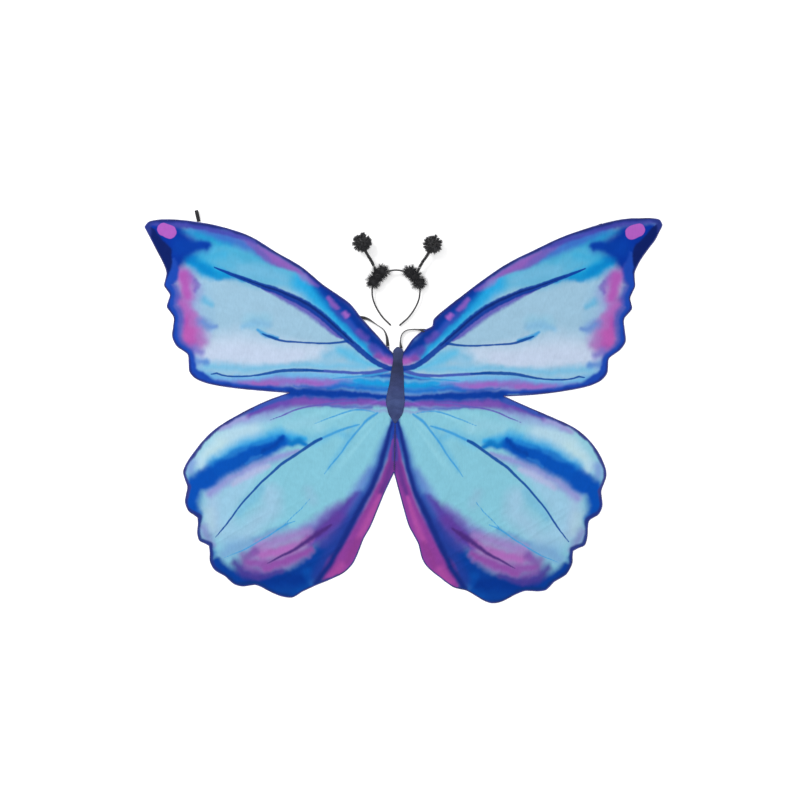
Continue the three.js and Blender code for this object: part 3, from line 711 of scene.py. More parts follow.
# ---- the cape's sheets ----
def outline_of(node):
    """A flat node's outline from above, anticlockwise, from the edges that only one upward face has."""
    mesh = frame["nodes"][node].data
    edges = set()
    for face in mesh.polygons:
        if face.normal.z > 0.5:
            corners = [tuple(mesh.vertices[i].co[:2]) for i in face.vertices]
            for a, b in zip(corners, corners[1:] + corners[:1]):
                if (b, a) in edges:
                    edges.remove((b, a))
                else:
                    edges.add((a, b))
    following = dict(edges)
    loop = [min(following)]
    while following[loop[-1]] != loop[0]:
        loop.append(following[loop[-1]])
    return np.array(loop)


def smooth_edge(knots):
    """A fine line through an outline's points, smooth except at its sharp corners."""
    steps = unit(np.diff(knots, axis=0))
    turn = np.sum(steps[1:] * steps[:-1], axis=1)
    corners = [0, *(np.nonzero(turn < math.cos(math.radians(48)))[0] + 1), len(knots) - 1]
    pieces = [spline(knots[a : b + 1], CLOTH_SPACING) for a, b in zip(corners, corners[1:])]
    return np.vstack([pieces[0]] + [piece[1:] for piece in pieces[1:]])


def wing_outline(side, sign):
    """The sheet's free edge, from the neckline's middle round the wing to the apex below, and its centre
    seam."""
    loop = outline_of(side + "_wing_cloth")
    if sign > 0:
        loop = loop[::-1]
    fold = np.abs(loop[:, 0]) < np.abs(loop[:, 0]).min() + 0.1 * MM
    start = np.nonzero(fold & (loop[:, 1] > 0))[0][0]
    loop = np.roll(loop, -start, axis=0)
    centre = outline_of("centre_cloth")
    inside = np.abs(centre[:, 0]) < np.abs(centre[:, 0]).max() - 1 * MM
    neck = centre[inside & (centre[:, 1] > 0)]
    neck = neck[np.argsort(sign * neck[:, 0])]
    apex = centre[inside & (centre[:, 1] < 0)][0]
    seam_top = np.array([0.0, np.interp(0, *neck[np.argsort(neck[:, 0])].T)])
    own_neck = neck[sign * neck[:, 0] > 0]
    knots = np.vstack([seam_top[None], own_neck, loop, apex[None]])
    seam = spline([apex, (-1.2 * MM, -0.13), (0, -0.068), (0, 0.02), seam_top], CLOTH_SPACING)
    return smooth_edge(knots), seam


def nearest_on(line, points):
    """Each point's distance from a line, and how far along it the nearest place is."""
    starts, steps = line[:-1], np.diff(line, axis=0)
    lengths = np.linalg.norm(steps, axis=1)
    run = np.concatenate([[0], np.cumsum(lengths)])[:-1]
    distance, place = np.empty(len(points)), np.empty(len(points))
    for first in range(0, len(points), 2000):
        offset = points[first : first + 2000, None, :] - starts[None]
        share = np.clip((offset * steps).sum(axis=2) / lengths**2, 0, 1)
        gap = np.linalg.norm(offset - share[..., None] * steps, axis=2)
        best = gap.argmin(axis=1)
        rows = np.arange(len(best))
        distance[first : first + 2000] = gap[rows, best]
        place[first : first + 2000] = run[best] + share[rows, best] * lengths[best]
    return distance, place


def inside_polygon(points, polygon):
    x, y = points[:, 0], points[:, 1]
    inside = np.zeros(len(points), bool)
    for (x0, y0), (x1, y1) in zip(polygon, np.roll(polygon, -1, axis=0)):
        if y0 != y1:
            inside ^= ((y0 > y) != (y1 > y)) & (x < (x1 - x0) * (y - y0) / (y1 - y0) + x0)
    return inside


def fill_outline(outline, spacing):
    """Triangles that fill a closed outline: its own points, then rows of points within it."""
    low, high = outline.min(axis=0), outline.max(axis=0)
    row = spacing * math.sqrt(3) / 2
    rows = np.arange(low[1], high[1], row)
    lines = []
    for i, y in enumerate(rows):
        x = np.arange(low[0] + (i % 2) * spacing / 2, high[0], spacing)
        lines.append(np.column_stack([x, np.full(len(x), y)]))
    grid = np.vstack(lines)
    grid = grid[inside_polygon(grid, outline)]
    ring = np.vstack([outline, outline[:1]])
    grid = grid[nearest_on(ring, grid)[0] > 0.55 * spacing]
    points = np.vstack([outline, grid])
    border = [(i, (i + 1) % len(outline)) for i in range(len(outline))]
    found = geometry.delaunay_2d_cdt([Vector(p) for p in points], border, [], 1, 1e-7)
    flat = np.array([tuple(p) for p in found[0]])
    return flat, [tuple(face) for face in found[2]]


def thick_sheet(flat, triangles, top, thickness):
    """A closed sheet of the given thickness, topped by a height for each flat point. Its upper points come
    first."""
    count = len(flat)
    upper = np.column_stack([flat, top])
    lower = np.column_stack([flat, top - thickness])
    edges = {}
    for a, b, c in triangles:
        for start, end in ((a, b), (b, c), (c, a)):
            if (end, start) in edges:
                del edges[end, start]
            else:
                edges[start, end] = True
    faces = list(triangles) + [(c + count, b + count, a + count) for a, b, c in triangles]
    faces += [(b, a, a + count, b + count) for a, b in edges]
    return np.vstack([upper, lower]), faces


def ridged(x, y, angle, width, length, seed):
    """Narrow creases that run at an angle, from 0 to 1."""
    c, s = math.cos(angle), math.sin(angle)
    u, v = (x * c + y * s) / length, (y * c - x * s) / width
    return np.clip(1 - 2.6 * np.abs(value_noise(u, v, 1.0, seed)), 0, 1)


def cloth_height(points):
    """Height of the cape's face over the floor where it lies with its small swells and creases."""
    x, y = points[:, 0] / MM, points[:, 1] / MM
    level = 0.9 * cloud(x, y, 150, SEED) + 0.35 * cloud(x, y, 46, SEED + 1)
    radial = np.arctan2(y + 40, np.abs(x))
    reach = np.hypot(x, y + 40)
    rays = value_noise(radial * 9, reach / 260, 1.0, SEED + 2) * smoothstep(40, 120, reach)
    level += 0.45 * rays * (1 - smoothstep(380, 620, reach))
    across_body = smoothstep(-60, 20, y) * (1 - smoothstep(60, 130, y))
    low_on_wing = 1 - smoothstep(-330, -200, y)
    level += 1.2 * ridged(x, y, 0.06, 13, 120, SEED + 3) * across_body
    level += 1.3 * ridged(x, y, 0.55, 22, 170, SEED + 4) * low_on_wing
    level += 1.3 * ridged(x, y, 2.5, 22, 170, SEED + 5) * low_on_wing * (x > 0)
    level += 0.7 * ridged(x, y, 1.2, 26, 150, SEED + 6)
    # puckers round the tail, where the patch is stitched on behind
    level += 0.8 * ridged(x, y, 0.2, 7, 40, SEED + 7) * (1 - smoothstep(20, 60, np.hypot(x + 5, y + 62)))
    level *= 0.22 + 0.78 * smoothstep(20, 44, np.hypot(x, 0.35 * (y - 36)))
    rise = np.hypot(x - TUCKED_LOOP.x / MM, 0.8 * (y - TUCKED_LOOP.y / MM))
    level += TUCKED_LOOP_RISE / MM * (1 - smoothstep(8, 62, rise))
    return CLOTH_LEVEL + level * MM


def settle(height, points, depth):
    """Lets the free edge sink towards the floor, except near the body and by the finger loops."""
    away = smoothstep(150 * MM, 260 * MM, np.hypot(points[:, 0], points[:, 1] - 0.05))
    for x, y in (LEFT_LOOP, TUCKED_LOOP):
        away = away * smoothstep(25 * MM, 70 * MM, np.hypot(points[:, 0] - x, points[:, 1] - y))
    sink = (1 - smoothstep(0, 38 * MM, depth)) * away
    return height * (1 - sink) + (EDGE_LEVEL + 0.25 * (height - CLOTH_LEVEL)) * sink


def design_place(points, sign):
    """Where each point of a wing lies in the print's design, in millimetres of reach and height."""
    x, y = sign * points[:, 0] / MM, points[:, 1] / MM
    if sign < 0:
        return x, y
    upper = smoothstep(-60, 80, y)
    reach = (0.982 * x - 0.0365 * y - 3.5) * upper + (0.987 * x - 0.061 * y - 2.3) * (1 - upper)
    height = (0.003 * x + 0.980 * y + 8.7) * upper + (0.009 * x + 0.982 * y + 2.0) * (1 - upper)
    out = smoothstep(0, 60, x)
    return x + (reach - x) * out, y + (height - y) * out


def margin_place(edge, place):
    """A place along a wing's free edge as a number: 0 at the neck, 1 at the tip, 2 at the notch, 3 below."""
    steps = np.linalg.norm(np.diff(edge, axis=0), axis=1)
    run = np.concatenate([[0], np.cumsum(steps)])
    tip = np.hypot(edge[:, 0], edge[:, 1]).argmax()
    near_notch = (edge[:, 1] > -0.03) & (edge[:, 1] < 0.06) & (run > run[tip])
    notch = np.where(near_notch, np.abs(edge[:, 0]), 9).argmin()
    fold = len(edge) - 1 - np.abs(np.abs(edge[::-1, 0]) - FOLD_REACH).argmin()
    start = np.abs(np.abs(edge[: tip, 0]) - FOLD_REACH).argmin()
    return np.interp(place, run[[start, tip, notch, fold, len(edge) - 1]], [0, 1, 2, 3, 3.1])


REVERSE_INK = 0.86  # how much of the print comes through to the back
REVERSE_HAZE = 0.03


def make_wing(side, sign, cloth, thread):
    edge, seam = wing_outline(side, sign)
    outline = np.vstack([edge, seam[1:-1]])
    flat, triangles = fill_outline(outline, CLOTH_SPACING)
    depth, run = nearest_on(edge, flat)
    top = settle(cloth_height(flat), flat, depth)
    points, faces = thick_sheet(flat, triangles, top, CLOTH_THICK)
    name = side + "_wing_print"
    piece = make_piece(name, points, faces, cloth)
    reach, height = design_place(flat, sign)
    colour = wing_print(reach, height, margin_place(edge, run), depth / MM)
    back = colour * REVERSE_INK + REVERSE_HAZE
    set_colour(piece, "print", np.vstack([colour, back]))
    vx = reach + 1.5 * cloud(reach, height, 45, SEED + 57)
    vy = height + 1.5 * cloud(reach, height, 45, SEED + 58)
    for vein_or_shade_name, _, _, paths in VEINS_AND_FOLD_SHADE:
        nearest = np.min([stroke_distance(vx, vy, spline(path, 16)) for path in paths], axis=0)
        set_value(piece, vein_or_shade_name, np.tile(np.minimum(nearest, 9), 2))
    spot = stroke_distance(reach, height, TIP_SPOT)
    set_value(piece, "tip_spot", np.tile(np.minimum(spot, 9), 2))
    set_value(piece, "edge_depth", np.tile(depth, 2))
    set_value(piece, "reverse", np.repeat([0.0, 1.0], len(flat)))
    hold_sheet(piece)
    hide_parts(side + "_wing_cloth", *(["centre_cloth"] if sign < 0 else []))
    make_hem(side, sign, edge, thread)


def hold_sheet(piece):
    """Bakes the sheet's placement into its points; the sheet is attached to no body."""
    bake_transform(piece)


def make_hem(side, sign, edge, thread):
    """A narrow rolled hem, oversewn with thread, along the whole free edge."""
    inward = np.column_stack([-np.gradient(edge[:, 1]), np.gradient(edge[:, 0])])
    line = edge - sign * unit(inward) * HEM_WIDTH * 0.32
    depth = np.full(len(line), HEM_WIDTH * 0.3)
    level = settle(cloth_height(line), line, depth) - CLOTH_THICK / 2
    wobble = 1 + 0.12 * value_noise(np.arange(len(line)) * 1.0, np.zeros(len(line)), 3.0, SEED + 40)
    path = np.column_stack([line, level])
    points, faces, run, _ = sweep(path, rounded_section(HEM_WIDTH, 1.1 * MM), size=wobble)
    piece = make_piece(side + "_rolled_hem", points, faces, thread)
    set_value(piece, "along", run)
    hold_sheet(piece)
    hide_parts(side + "_wing_hem")


def printed_satin():
    """Woven satin with its print: washes from the points, veins, painted fold shade and outline drawn from
    distances.
    """
    material, tree, shader = new_material("Printed_satin", Roughness=0.6, Specular_IOR_Level=0.05)
    colour = attribute(tree, "print").outputs["Color"]
    spread = math_node(tree, "SUBTRACT", noise(tree, 90, 5.0), 0.5)
    unevenness = math_node(tree, "MULTIPLY", spread, 0.45)
    for name, code, softness, _ in VEINS_AND_FOLD_SHADE:
        ragged = math_node(tree, "ADD", attribute(tree, name).outputs["Fac"], unevenness)
        amount = fade(tree, ragged, 1 - softness, 1.05, 0.96, 0.0)
        colour = mix_colour(tree, amount, colour, swatch(code))
    ragged = math_node(tree, "MULTIPLY", unevenness, 0.4)
    spot = math_node(tree, "ADD", attribute(tree, "tip_spot").outputs["Fac"], ragged)
    colour = mix_colour(tree, fade(tree, spot, 0.88, 1.0, 0.95, 0.0), colour, swatch("B35EC0"))
    # the brush's fine streaks and the cloth's slight unevenness
    streaks = ramp(tree, noise(tree, (220, 70, 1)), [(0.3, (0.93,) * 3), (0.7, (1.0,) * 3)])
    colour = mix_colour(tree, 1.0, colour, streaks, "MULTIPLY")
    outline = fade(tree, attribute(tree, "edge_depth").outputs["Fac"], 1.5 * MM, 4.2 * MM, 0.8, 0.0)
    colour = mix_colour(tree, outline, colour, swatch("252E78"))
    reverse = attribute(tree, "reverse").outputs["Fac"]
    colour = mix_colour(tree, math_node(tree, "MULTIPLY", reverse, 0.14), colour, (0.7, 0.76, 0.85))
    tree.links.new(colour, shader.inputs["Base Color"])
    soft = bump(tree, shader, noise(tree, (30, 60, 1), 4.0), 1.2 * MM, 0.5)
    bump(tree, shader, weave_height(tree, SATIN_THREADS), 0.08 * MM, 0.25, before=soft)
    return material


def oversewn_thread(name, dark, light, pitch=1.1 * MM):
    """Close turns of shiny thread across a narrow roll."""
    material, tree, shader = new_material(name, Roughness=0.45, Sheen_Weight=0.2, Specular_IOR_Level=0.4)
    along = attribute(tree, "along").outputs["Fac"]
    turns = math_node(tree, "SINE", math_node(tree, "MULTIPLY", along, 2 * math.pi / pitch))
    # painted highlight and shade: each turn lighter on its crest and darker between turns, over random tone
    shade = math_node(tree, "ADD", math_node(tree, "MULTIPLY", turns, 0.12), noise(tree, 25))
    tree.links.new(ramp(tree, shade, [(0.3, dark), (0.75, light)]), shader.inputs["Base Color"])
    bump(tree, shader, turns, 0.3 * MM, 0.6)
    return material


# ---- the insect's body, the seam, the patch and the tacks ----
def make_body(material):
    """A spindle of dark cloth: crowned, sewn down near its edge and crossed by soft folds."""
    knots = outline_of("butterfly_body")
    outline = spline(np.vstack([knots, knots[:1]]), 2 * MM)[:-1]
    flat, triangles = fill_outline(outline, 1.8 * MM)
    depth, _ = nearest_on(np.vstack([outline, outline[:1]]), flat)
    x, y = flat[:, 0] / MM, flat[:, 1] / MM
    crown = smoothstep(1.5 * MM, 13 * MM, depth)
    folds = ridged(x, y + 0.02 * x * x, 0.08, 9, 60, SEED + 11) * crown
    sewn = np.exp(-(((depth - 1.8 * MM) / (0.6 * MM)) ** 2))
    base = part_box("butterfly_body")[0].z - 0.2 * MM
    top = base + 0.55 * MM + (1.15 * crown + 0.35 * folds - 0.3 * sewn) * MM
    points, faces = thick_sheet(flat, triangles, top, top - base)
    piece = make_piece("Butterfly_body_cloth", points, faces, material)
    set_value(piece, "rim", np.tile(1 - smoothstep(0, 3 * MM, depth), 2))
    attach(piece, "cape_middle")
    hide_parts("butterfly_body")


# The body's colours from its tail to its head, each with its share of the way.
BODY_COLOURS = [
    (0.0, "2E3C6E"), (0.16, "394A7C"), (0.42, "303E70"), (0.62, "263260"), (0.85, "18224A"), (1.0, "303C68"),
]
BODY_TAIL = -0.065
BODY_HEAD = 0.137


def body_cloth():
    material, tree, shader = new_material(
        "Body_cloth", Roughness=0.6, Sheen_Weight=0.2, Sheen_Roughness=0.5, Specular_IOR_Level=0.3
    )
    place = add_node(tree, "ShaderNodeTexCoord").outputs["Object"]
    height = add_node(tree, "ShaderNodeSeparateXYZ", {"Vector": place}).outputs["Y"]
    along = fade(tree, height, BODY_TAIL, BODY_HEAD)
    colour = ramp(tree, along, [(share, swatch(code)) for share, code in BODY_COLOURS])
    patches = ramp(tree, noise(tree, (30, 60, 1)), [(0.35, (0.62, 0.68, 0.78)), (0.65, (1.15, 1.1, 1.1))])
    colour = mix_colour(tree, 1.0, colour, patches, "MULTIPLY")
    rim = attribute(tree, "rim").outputs["Fac"]
    colour = mix_colour(tree, math_node(tree, "MULTIPLY", rim, 0.55), colour, swatch("1E2752"))
    tree.links.new(colour, shader.inputs["Base Color"])
    bump(tree, shader, weave_height(tree, BODY_THREADS), 0.1 * MM, 0.3)
    return material


def make_seam(thread):
    """A raised, oversewn seam below the body, where the two prints meet."""
    low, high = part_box("centre_seam")
    knots = [(0, high.y), (-0.001, -0.13), (low.x + 1.2 * MM, low.y)]
    line = spline(knots, 1.5 * MM)
    path = np.column_stack([line, cloth_height(line) + 0.25 * MM])
    points, faces, run, _ = sweep(path, rounded_section(2.0 * MM, 0.9 * MM))
    piece = make_piece("Centre_seam_thread", points, faces, thread)
    set_value(piece, "along", run)
    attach(piece, "cape_middle")
    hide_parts("centre_seam")


def make_patch(material, thread):
    """The lining patch behind the body, with a turned border and a ring of zigzag stitches."""
    low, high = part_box("back_patch")
    half, radius = (high.x - low.x) / 2, 9 * MM
    turns = np.linspace(0, math.pi / 2, 7)
    corner = half - radius + radius * np.column_stack([np.cos(turns), np.sin(turns)])
    quarter_turn = np.array([[0.0, 1.0], [-1.0, 0.0]])
    corners = [corner @ np.linalg.matrix_power(quarter_turn, i) for i in range(4)]
    ring = np.vstack(corners + [corner[:1]])
    outline = np.vstack([evenly(a, b, 2 * MM) for a, b in zip(ring, ring[1:])])
    flat, triangles = fill_outline(outline, 2.2 * MM)
    depth, _ = nearest_on(np.vstack([outline, outline[:1]]), flat)
    x, y = flat[:, 0] / MM, flat[:, 1] / MM
    base = 0.12 * MM + 0.1 * MM * (1 + cloud(x, y, 28, SEED + 50)) * smoothstep(4 * MM, 12 * MM, depth)
    thickness = 0.35 * MM + 0.3 * MM * (1 - smoothstep(6 * MM, 7.2 * MM, depth))
    points, faces = thick_sheet(flat, triangles, base + thickness, thickness)
    piece = make_piece("Back_patch_cloth", points, faces, material)
    set_value(piece, "rim", np.tile(1 - smoothstep(5.5 * MM, 7 * MM, depth), 2))
    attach(piece, "cape_middle")
    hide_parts("back_patch")
    # zigzag stitches 5 mm inside the border, showing on both faces
    inset = outline * (half - 5 * MM) / half
    pitch = 3.2 * MM
    line = np.vstack([evenly(a, b, pitch / 2) for a, b in zip(inset, np.roll(inset, -1, axis=0))])
    outward = unit(line)
    wave = np.where(np.arange(len(line)) % 2 == 0, 1.0, -1.0)[:, None]
    zigzag = line + outward * wave * 1.1 * MM
    parts = []
    for level in (0.08 * MM, 0.86 * MM):
        path = np.column_stack([zigzag, np.full(len(zigzag), level)])
        parts.append(sweep(path, rounded_section(0.45 * MM, 0.3 * MM, 2), closed=True)[:2])
    points, faces = join(parts)
    stitches = make_piece("Back_patch_stitches", points, faces, thread)
    set_value(stitches, "along", points[:, 0] + points[:, 1])
    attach(stitches, "cape_middle")


def evenly(start, end, spacing):
    """Points from start up to, but not including, end."""
    count = max(int(round(np.linalg.norm(end - start) / spacing)), 1)
    return start + (end - start) * np.arange(count)[:, None] / count


def make_tack(node, thread):
    """A bar tack: close passes of thread side by side over two lengthwise ones, filling the node's box."""
    body = frame["nodes"][node]["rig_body"]
    corners = np.array([tuple(v.co) for v in frame["nodes"][node].data.vertices])
    middle = (corners.min(axis=0) + corners.max(axis=0)) / 2
    spread = corners[:, :2] - middle[:2]
    axes = np.linalg.svd(spread, full_matrices=False)[2]
    length, width = 2 * np.abs(spread @ axes.T).max(axis=0)
    low, high = corners[:, 2].min(), corners[:, 2].max()
    radius = 0.42 * MM
    parts = []
    passes = int(length / (2 * radius))
    aside = axes[1] * (width / 2 - radius)
    for i in range(passes):
        along = (i + 0.5) / passes * length - length / 2
        sway = 0.1 * MM * math.sin(7.1 * i)
        ends = [middle[:2] + axes[0] * (along + sway * s) + aside * s for s in (-1, 1)]
        arch = [(*ends[0], low + radius), (*(ends[0] * 0.8 + ends[1] * 0.2), high - radius),
                (*(ends[0] * 0.2 + ends[1] * 0.8), high - radius), (*ends[1], low + radius)]
        parts.append(sweep(spline(arch, 1.2 * MM), rounded_section(2 * radius, 2 * radius, 2))[:2])
    for share in (-0.25, 0.25):
        ends = [middle[:2] + axes[1] * share * width + axes[0] * s * (length / 2 - radius) for s in (-1, 1)]
        level = (low + high) / 2
        core = rounded_section(2 * radius, (high - low) * 0.8, 2)
        parts.append(sweep([(*ends[0], level), (*ends[1], level)], core)[:2])
    points, faces = join(parts)
    piece = make_piece(node + "_stitching", points, faces, thread)
    set_value(piece, "along", points[:, 0] + points[:, 1])
    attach(piece, body)
    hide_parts(node)


# ---- elastic straps and finger loops ----
# Each strap's route in millimetres. The third number says how far it stands on its edge, from 0, flat, to 1.
STRAPS = {
    "left": [
        (-19, 139, 0.15), (-22, 164, 0.6), (-30, 182, 0.86), (-49, 196, 0.9), (-74, 211, 0.45), (-94, 214, 0),
        (-130, 205, 0), (-160, 178, 0), (-174, 128, 0), (-166, 68, 0), (-132, 12, 0), (-96, -26, 0),
        (-61, -45, 0),
    ],
    "right": [
        (16, 133, 0.25), (14, 150, 0.8), (18, 170, 0.86), (29, 180, 0.86), (47, 183, 0.84), (64, 182, 0.66),
        (78, 180, 0.12), (92, 179, 0), (104, 177, 0), (120, 174, 0), (150, 152, 0), (170, 108, 0),
        (166, 58, 0), (134, 8, 0), (98, -26, 0), (61, -45, 0),
    ],
}


def make_strap(side, material):
    """A flat elastic strap that turns on its edge where it stands free of the cloth."""
    line = spline(np.array(STRAPS[side]) * MM, 1.5 * MM)
    upright = np.clip(line[:, 2] / MM, 0, 1)
    twist = upright * math.radians(84) * (-1 if side == "left" else 1)
    flat_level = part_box(side + "_shoulder_strap")[0].z + STRAP_THICK / 2
    level = flat_level + np.abs(np.sin(twist)) * (STRAP_WIDTH / 2 - STRAP_THICK / 2)
    path = np.column_stack([line[:, :2], level])
    points, faces, run, reach = sweep(path, rounded_section(STRAP_WIDTH, STRAP_THICK), twist=twist)
    piece = make_piece(side + "_elastic_strap", points, faces, material)
    set_value(piece, "along", run)
    set_value(piece, "across", reach)
    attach(piece, side + "_shoulder_strap")
    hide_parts(side + "_shoulder_strap")


# Root in metres and heading and dip in degrees of each finger loop, as its solid has them.
LOOPS = {"left": ((-0.517, 0.467, 0.0024), 102, -10), "right": ((0.540, 0.461, 0.0058), 286, 2.5)}
LOOP_LENGTH = 31 * MM
LOOP_WIDTH = 9.3 * MM
LOOP_THICK = 0.9 * MM
LOOP_OPEN = 3.45 * MM  # from the loop's middle to the middle of its elastic


def make_finger_loop(side, material):
    """A folded length of ribbed elastic, sewn shut at its root and standing open."""
    root, heading, dip = LOOPS[side]
    mouth = LOOP_LENGTH - LOOP_OPEN - 0.5 * MM
    turns = np.linspace(-math.pi / 2, math.pi / 2, 9)[1:-1]
    bend = [(mouth + LOOP_OPEN * math.cos(a), LOOP_OPEN * math.sin(a)) for a in turns]
    lower = [(0.3 * MM, -0.5 * MM), (5 * MM, -1.2 * MM), (12 * MM, -LOOP_OPEN), (mouth, -LOOP_OPEN)]
    upper = [(x, -z) for x, z in reversed(lower)]
    line = spline(lower + bend + upper, 0.9 * MM)
    path = np.column_stack([line[:, 0], np.zeros(len(line)), line[:, 1]])
    upright = np.full(len(path), math.pi / 2)
    section = rounded_section(LOOP_WIDTH, LOOP_THICK)
    points, faces, run, reach = sweep(path, section, up=(0, 1, 0), twist=upright)
    turn = Matrix.Rotation(math.radians(heading), 3, "Z") @ Matrix.Rotation(math.radians(dip), 3, "Y")
    points = points @ np.array(turn).T + np.array(root)
    piece = make_piece(side + "_finger_elastic", points, faces, material)
    set_value(piece, "along", run)
    set_value(piece, "across", reach)
    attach(piece, side + "_finger_loop")
    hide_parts(side + "_finger_loop")


def ribbed_elastic():
    """Black knitted elastic: ribs along its length, crossed by fine courses, with painted highlight on their
    crests and painted shade in their grooves.
    """
    material, tree, shader = new_material(
        "Ribbed_elastic", Roughness=0.8, Sheen_Weight=0.35, Sheen_Roughness=0.5, Specular_IOR_Level=0.25
    )
    across = attribute(tree, "across").outputs["Fac"]
    along = attribute(tree, "along").outputs["Fac"]
    ribs = math_node(tree, "COSINE", math_node(tree, "MULTIPLY", across, 6 * math.pi))
    courses = math_node(tree, "SINE", math_node(tree, "MULTIPLY", along, 2 * math.pi / (0.9 * MM)))
    relief = math_node(tree, "ADD", ribs, math_node(tree, "MULTIPLY", courses, 0.5))
    # painted highlight and shade: the ribs' and courses' relief lightens their crests and darkens their
    # grooves, over random tone
    shade = math_node(tree, "ADD", math_node(tree, "MULTIPLY", relief, 0.12), noise(tree, 60, 4.0))
    colour = ramp(tree, shade, [(0.25, (0.006, 0.006, 0.008)), (0.85, (0.035, 0.034, 0.038))])
    tree.links.new(colour, shader.inputs["Base Color"])
    bump(tree, shader, relief, 0.25 * MM, 0.8)
    return material


# ---- headband ----
def on_band(points):
    """Points of the headband's own plane, X across and Y from its ends to its crown, laid in the scene."""
    turn = Matrix.Rotation(BAND_TILT, 3, "X") @ Matrix.Rotation(BAND_TURN, 3, "Z")
    return np.asarray(points) @ np.array(turn).T + np.array(BAND_ORIGIN)


# From beside a tip to the band's widest place, mm.
BAND_ARM = [(17.6, 6.3), (34, 22), (51, 47), (61, 72), (63, 91)]
BAND_TIP = (11, 0)
BAND_THICK = 4.4 * MM
BAND_DEPTH = 6.6 * MM
BAND_SQUARENESS = 0.55  # 1 makes an oval section, and less a squarer one
BAND_HALF_WIDTH = 63 * MM
BAND_SIDE = 91 * MM
BAND_CROWN = 55 * MM
BAND_STEP = 1.3 * MM
RIBBON_TURN = 6.5 * MM  # along the band for each turn of its ribbon


def make_headband(ribbon, plastic):
    turns = np.linspace(0, math.pi, 61)[1:-1]
    crown = np.column_stack([BAND_HALF_WIDTH * np.cos(turns), BAND_SIDE + BAND_CROWN * np.sin(turns)])
    arm = spline(np.array(BAND_ARM) * MM, 2 * MM)
    line = np.vstack([arm, crown, (arm * (-1, 1))[::-1]])
    line = spline(line, BAND_STEP)
    path = np.column_stack([line, np.zeros(len(line))])
    # the ribbon's overlapping turns make a fine saw-tooth along the band
    run = np.arange(len(path)) * BAND_STEP
    swell = 1 + 0.05 * (run / RIBBON_TURN % 1)
    points, faces, along, reach = sweep(path, band_section(), size=swell)
    piece = make_piece("Ribbon_wrapped_band", on_band(points), faces, ribbon)
    set_value(piece, "along", along)
    set_value(piece, "across", reach)
    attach(piece, "headband")
    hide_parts("headband")
    for side, sign in WINGS:
        start, end = np.array(BAND_ARM[0]) * MM, np.array(BAND_TIP) * MM
        share = np.array([0.05, 0.2, 0.45, 0.7, 0.88, 0.97, 1.0])
        girth = np.array([0.92, 1.06, 1.1, 1.04, 0.86, 0.6, 0.3])
        spots = (start + (end - start) * share[:, None]) * (sign, 1)
        path = np.column_stack([spots, np.zeros(len(spots))])
        points, faces, _, _ = sweep(path, band_section(), size=girth)
        tip = make_piece(side + "_moulded_tip", on_band(points), faces, plastic)
        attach(tip, "headband")
        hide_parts(side + "_band_tip")


def band_section():
    """The band's section: thin in its own plane and deeper across it, with rounded corners."""
    turns = np.linspace(0, 2 * math.pi, 17)[:-1]
    ring = np.column_stack([np.cos(turns), np.sin(turns)])
    return np.sign(ring) * np.abs(ring) ** BAND_SQUARENESS * (BAND_THICK / 2, BAND_DEPTH / 2)


def strands(roots, tips, radius, bow, rng, rings=3, taper=0.88):
    """Three-sided hairs from roots to tips, each bowed to one side, as points and faces."""
    count = len(roots)
    along = tips - roots
    length = np.linalg.norm(along, axis=1, keepdims=True)
    aside = unit(np.cross(along, rng.normal(size=(count, 3))))
    third = unit(np.cross(along, aside))
    share = np.linspace(0, 1, rings + 1)
    middle = roots[:, None] + along[:, None] * share[None, :, None]
    bend = np.sin(share * math.pi * 0.6) * bow
    middle = middle + aside[:, None] * bend[None, :, None] * length[:, None]
    girth = radius[:, None, None, None] * (1 - taper * share**1.5)[None, :, None, None]
    turns = np.arange(3) * 2 * math.pi / 3
    ring = np.cos(turns)[None, :, None] * aside[:, None] + np.sin(turns)[None, :, None] * third[:, None]
    points = middle[:, :, None, :] + girth * ring[:, None]
    size = 3 * (rings + 1)
    one = []
    for i in range(rings):
        for j in range(3):
            a, b = 3 * i + j, 3 * i + (j + 1) % 3
            one.append((a, b, b + 3, a + 3))
    starts = np.arange(count)[:, None, None] * size
    walls = (starts + np.array(one)[None]).reshape(-1, 4)
    caps = (starts + np.array([(2, 1, 0), (3 * rings, 3 * rings + 1, 3 * rings + 2)])[None]).reshape(-1, 3)
    return points.reshape(-1, 3), [tuple(f) for f in walls.tolist()] + [tuple(f) for f in caps.tolist()]


def hair_shades(count, rings, rng):
    """One random shade for each hair, for each of its points in turn."""
    return np.repeat(rng.random(count), 3 * (rings + 1))


def lumpy_ball(centre, radii, seed, lump=0.08, rows=14):
    """A closed, uneven ball: the dark heart of a puff or pompon."""
    points, faces = [], []
    columns = 2 * rows
    for i in range(1, rows):
        for j in range(columns):
            up, round_ = math.pi * i / rows, 2 * math.pi * j / columns
            points.append((math.sin(up) * math.cos(round_), math.sin(up) * math.sin(round_), math.cos(up)))
    points += [(0, 0, 1), (0, 0, -1)]
    top, bottom = len(points) - 2, len(points) - 1
    for i in range(rows - 2):
        for j in range(columns):
            a, b = i * columns + j, i * columns + (j + 1) % columns
            faces.append((a, b, b + columns, a + columns))
    last = (rows - 2) * columns
    faces += [(top, (j + 1) % columns, j) for j in range(columns)]
    faces += [(bottom, last + j, last + (j + 1) % columns) for j in range(columns)]
    points = np.array(points)
    x, y, z = points.T
    swell = 1 + lump * value_noise(x * 3 + z * 2, y * 3 - z, 1.0, seed)
    return np.array(centre) + points * np.array(radii) * swell[:, None], faces


def lifted(points):
    """Hair that would reach below the floor bends up to lie on it."""
    near, least = 3 * MM, 0.3 * MM
    low = least + (near - least) * np.exp((points[:, 2] - near) / (near - least))
    points[:, 2] = np.where(points[:, 2] < near, low, points[:, 2])
    return points


def sphere_directions(count, rng):
    return unit(rng.normal(size=(count, 3)))


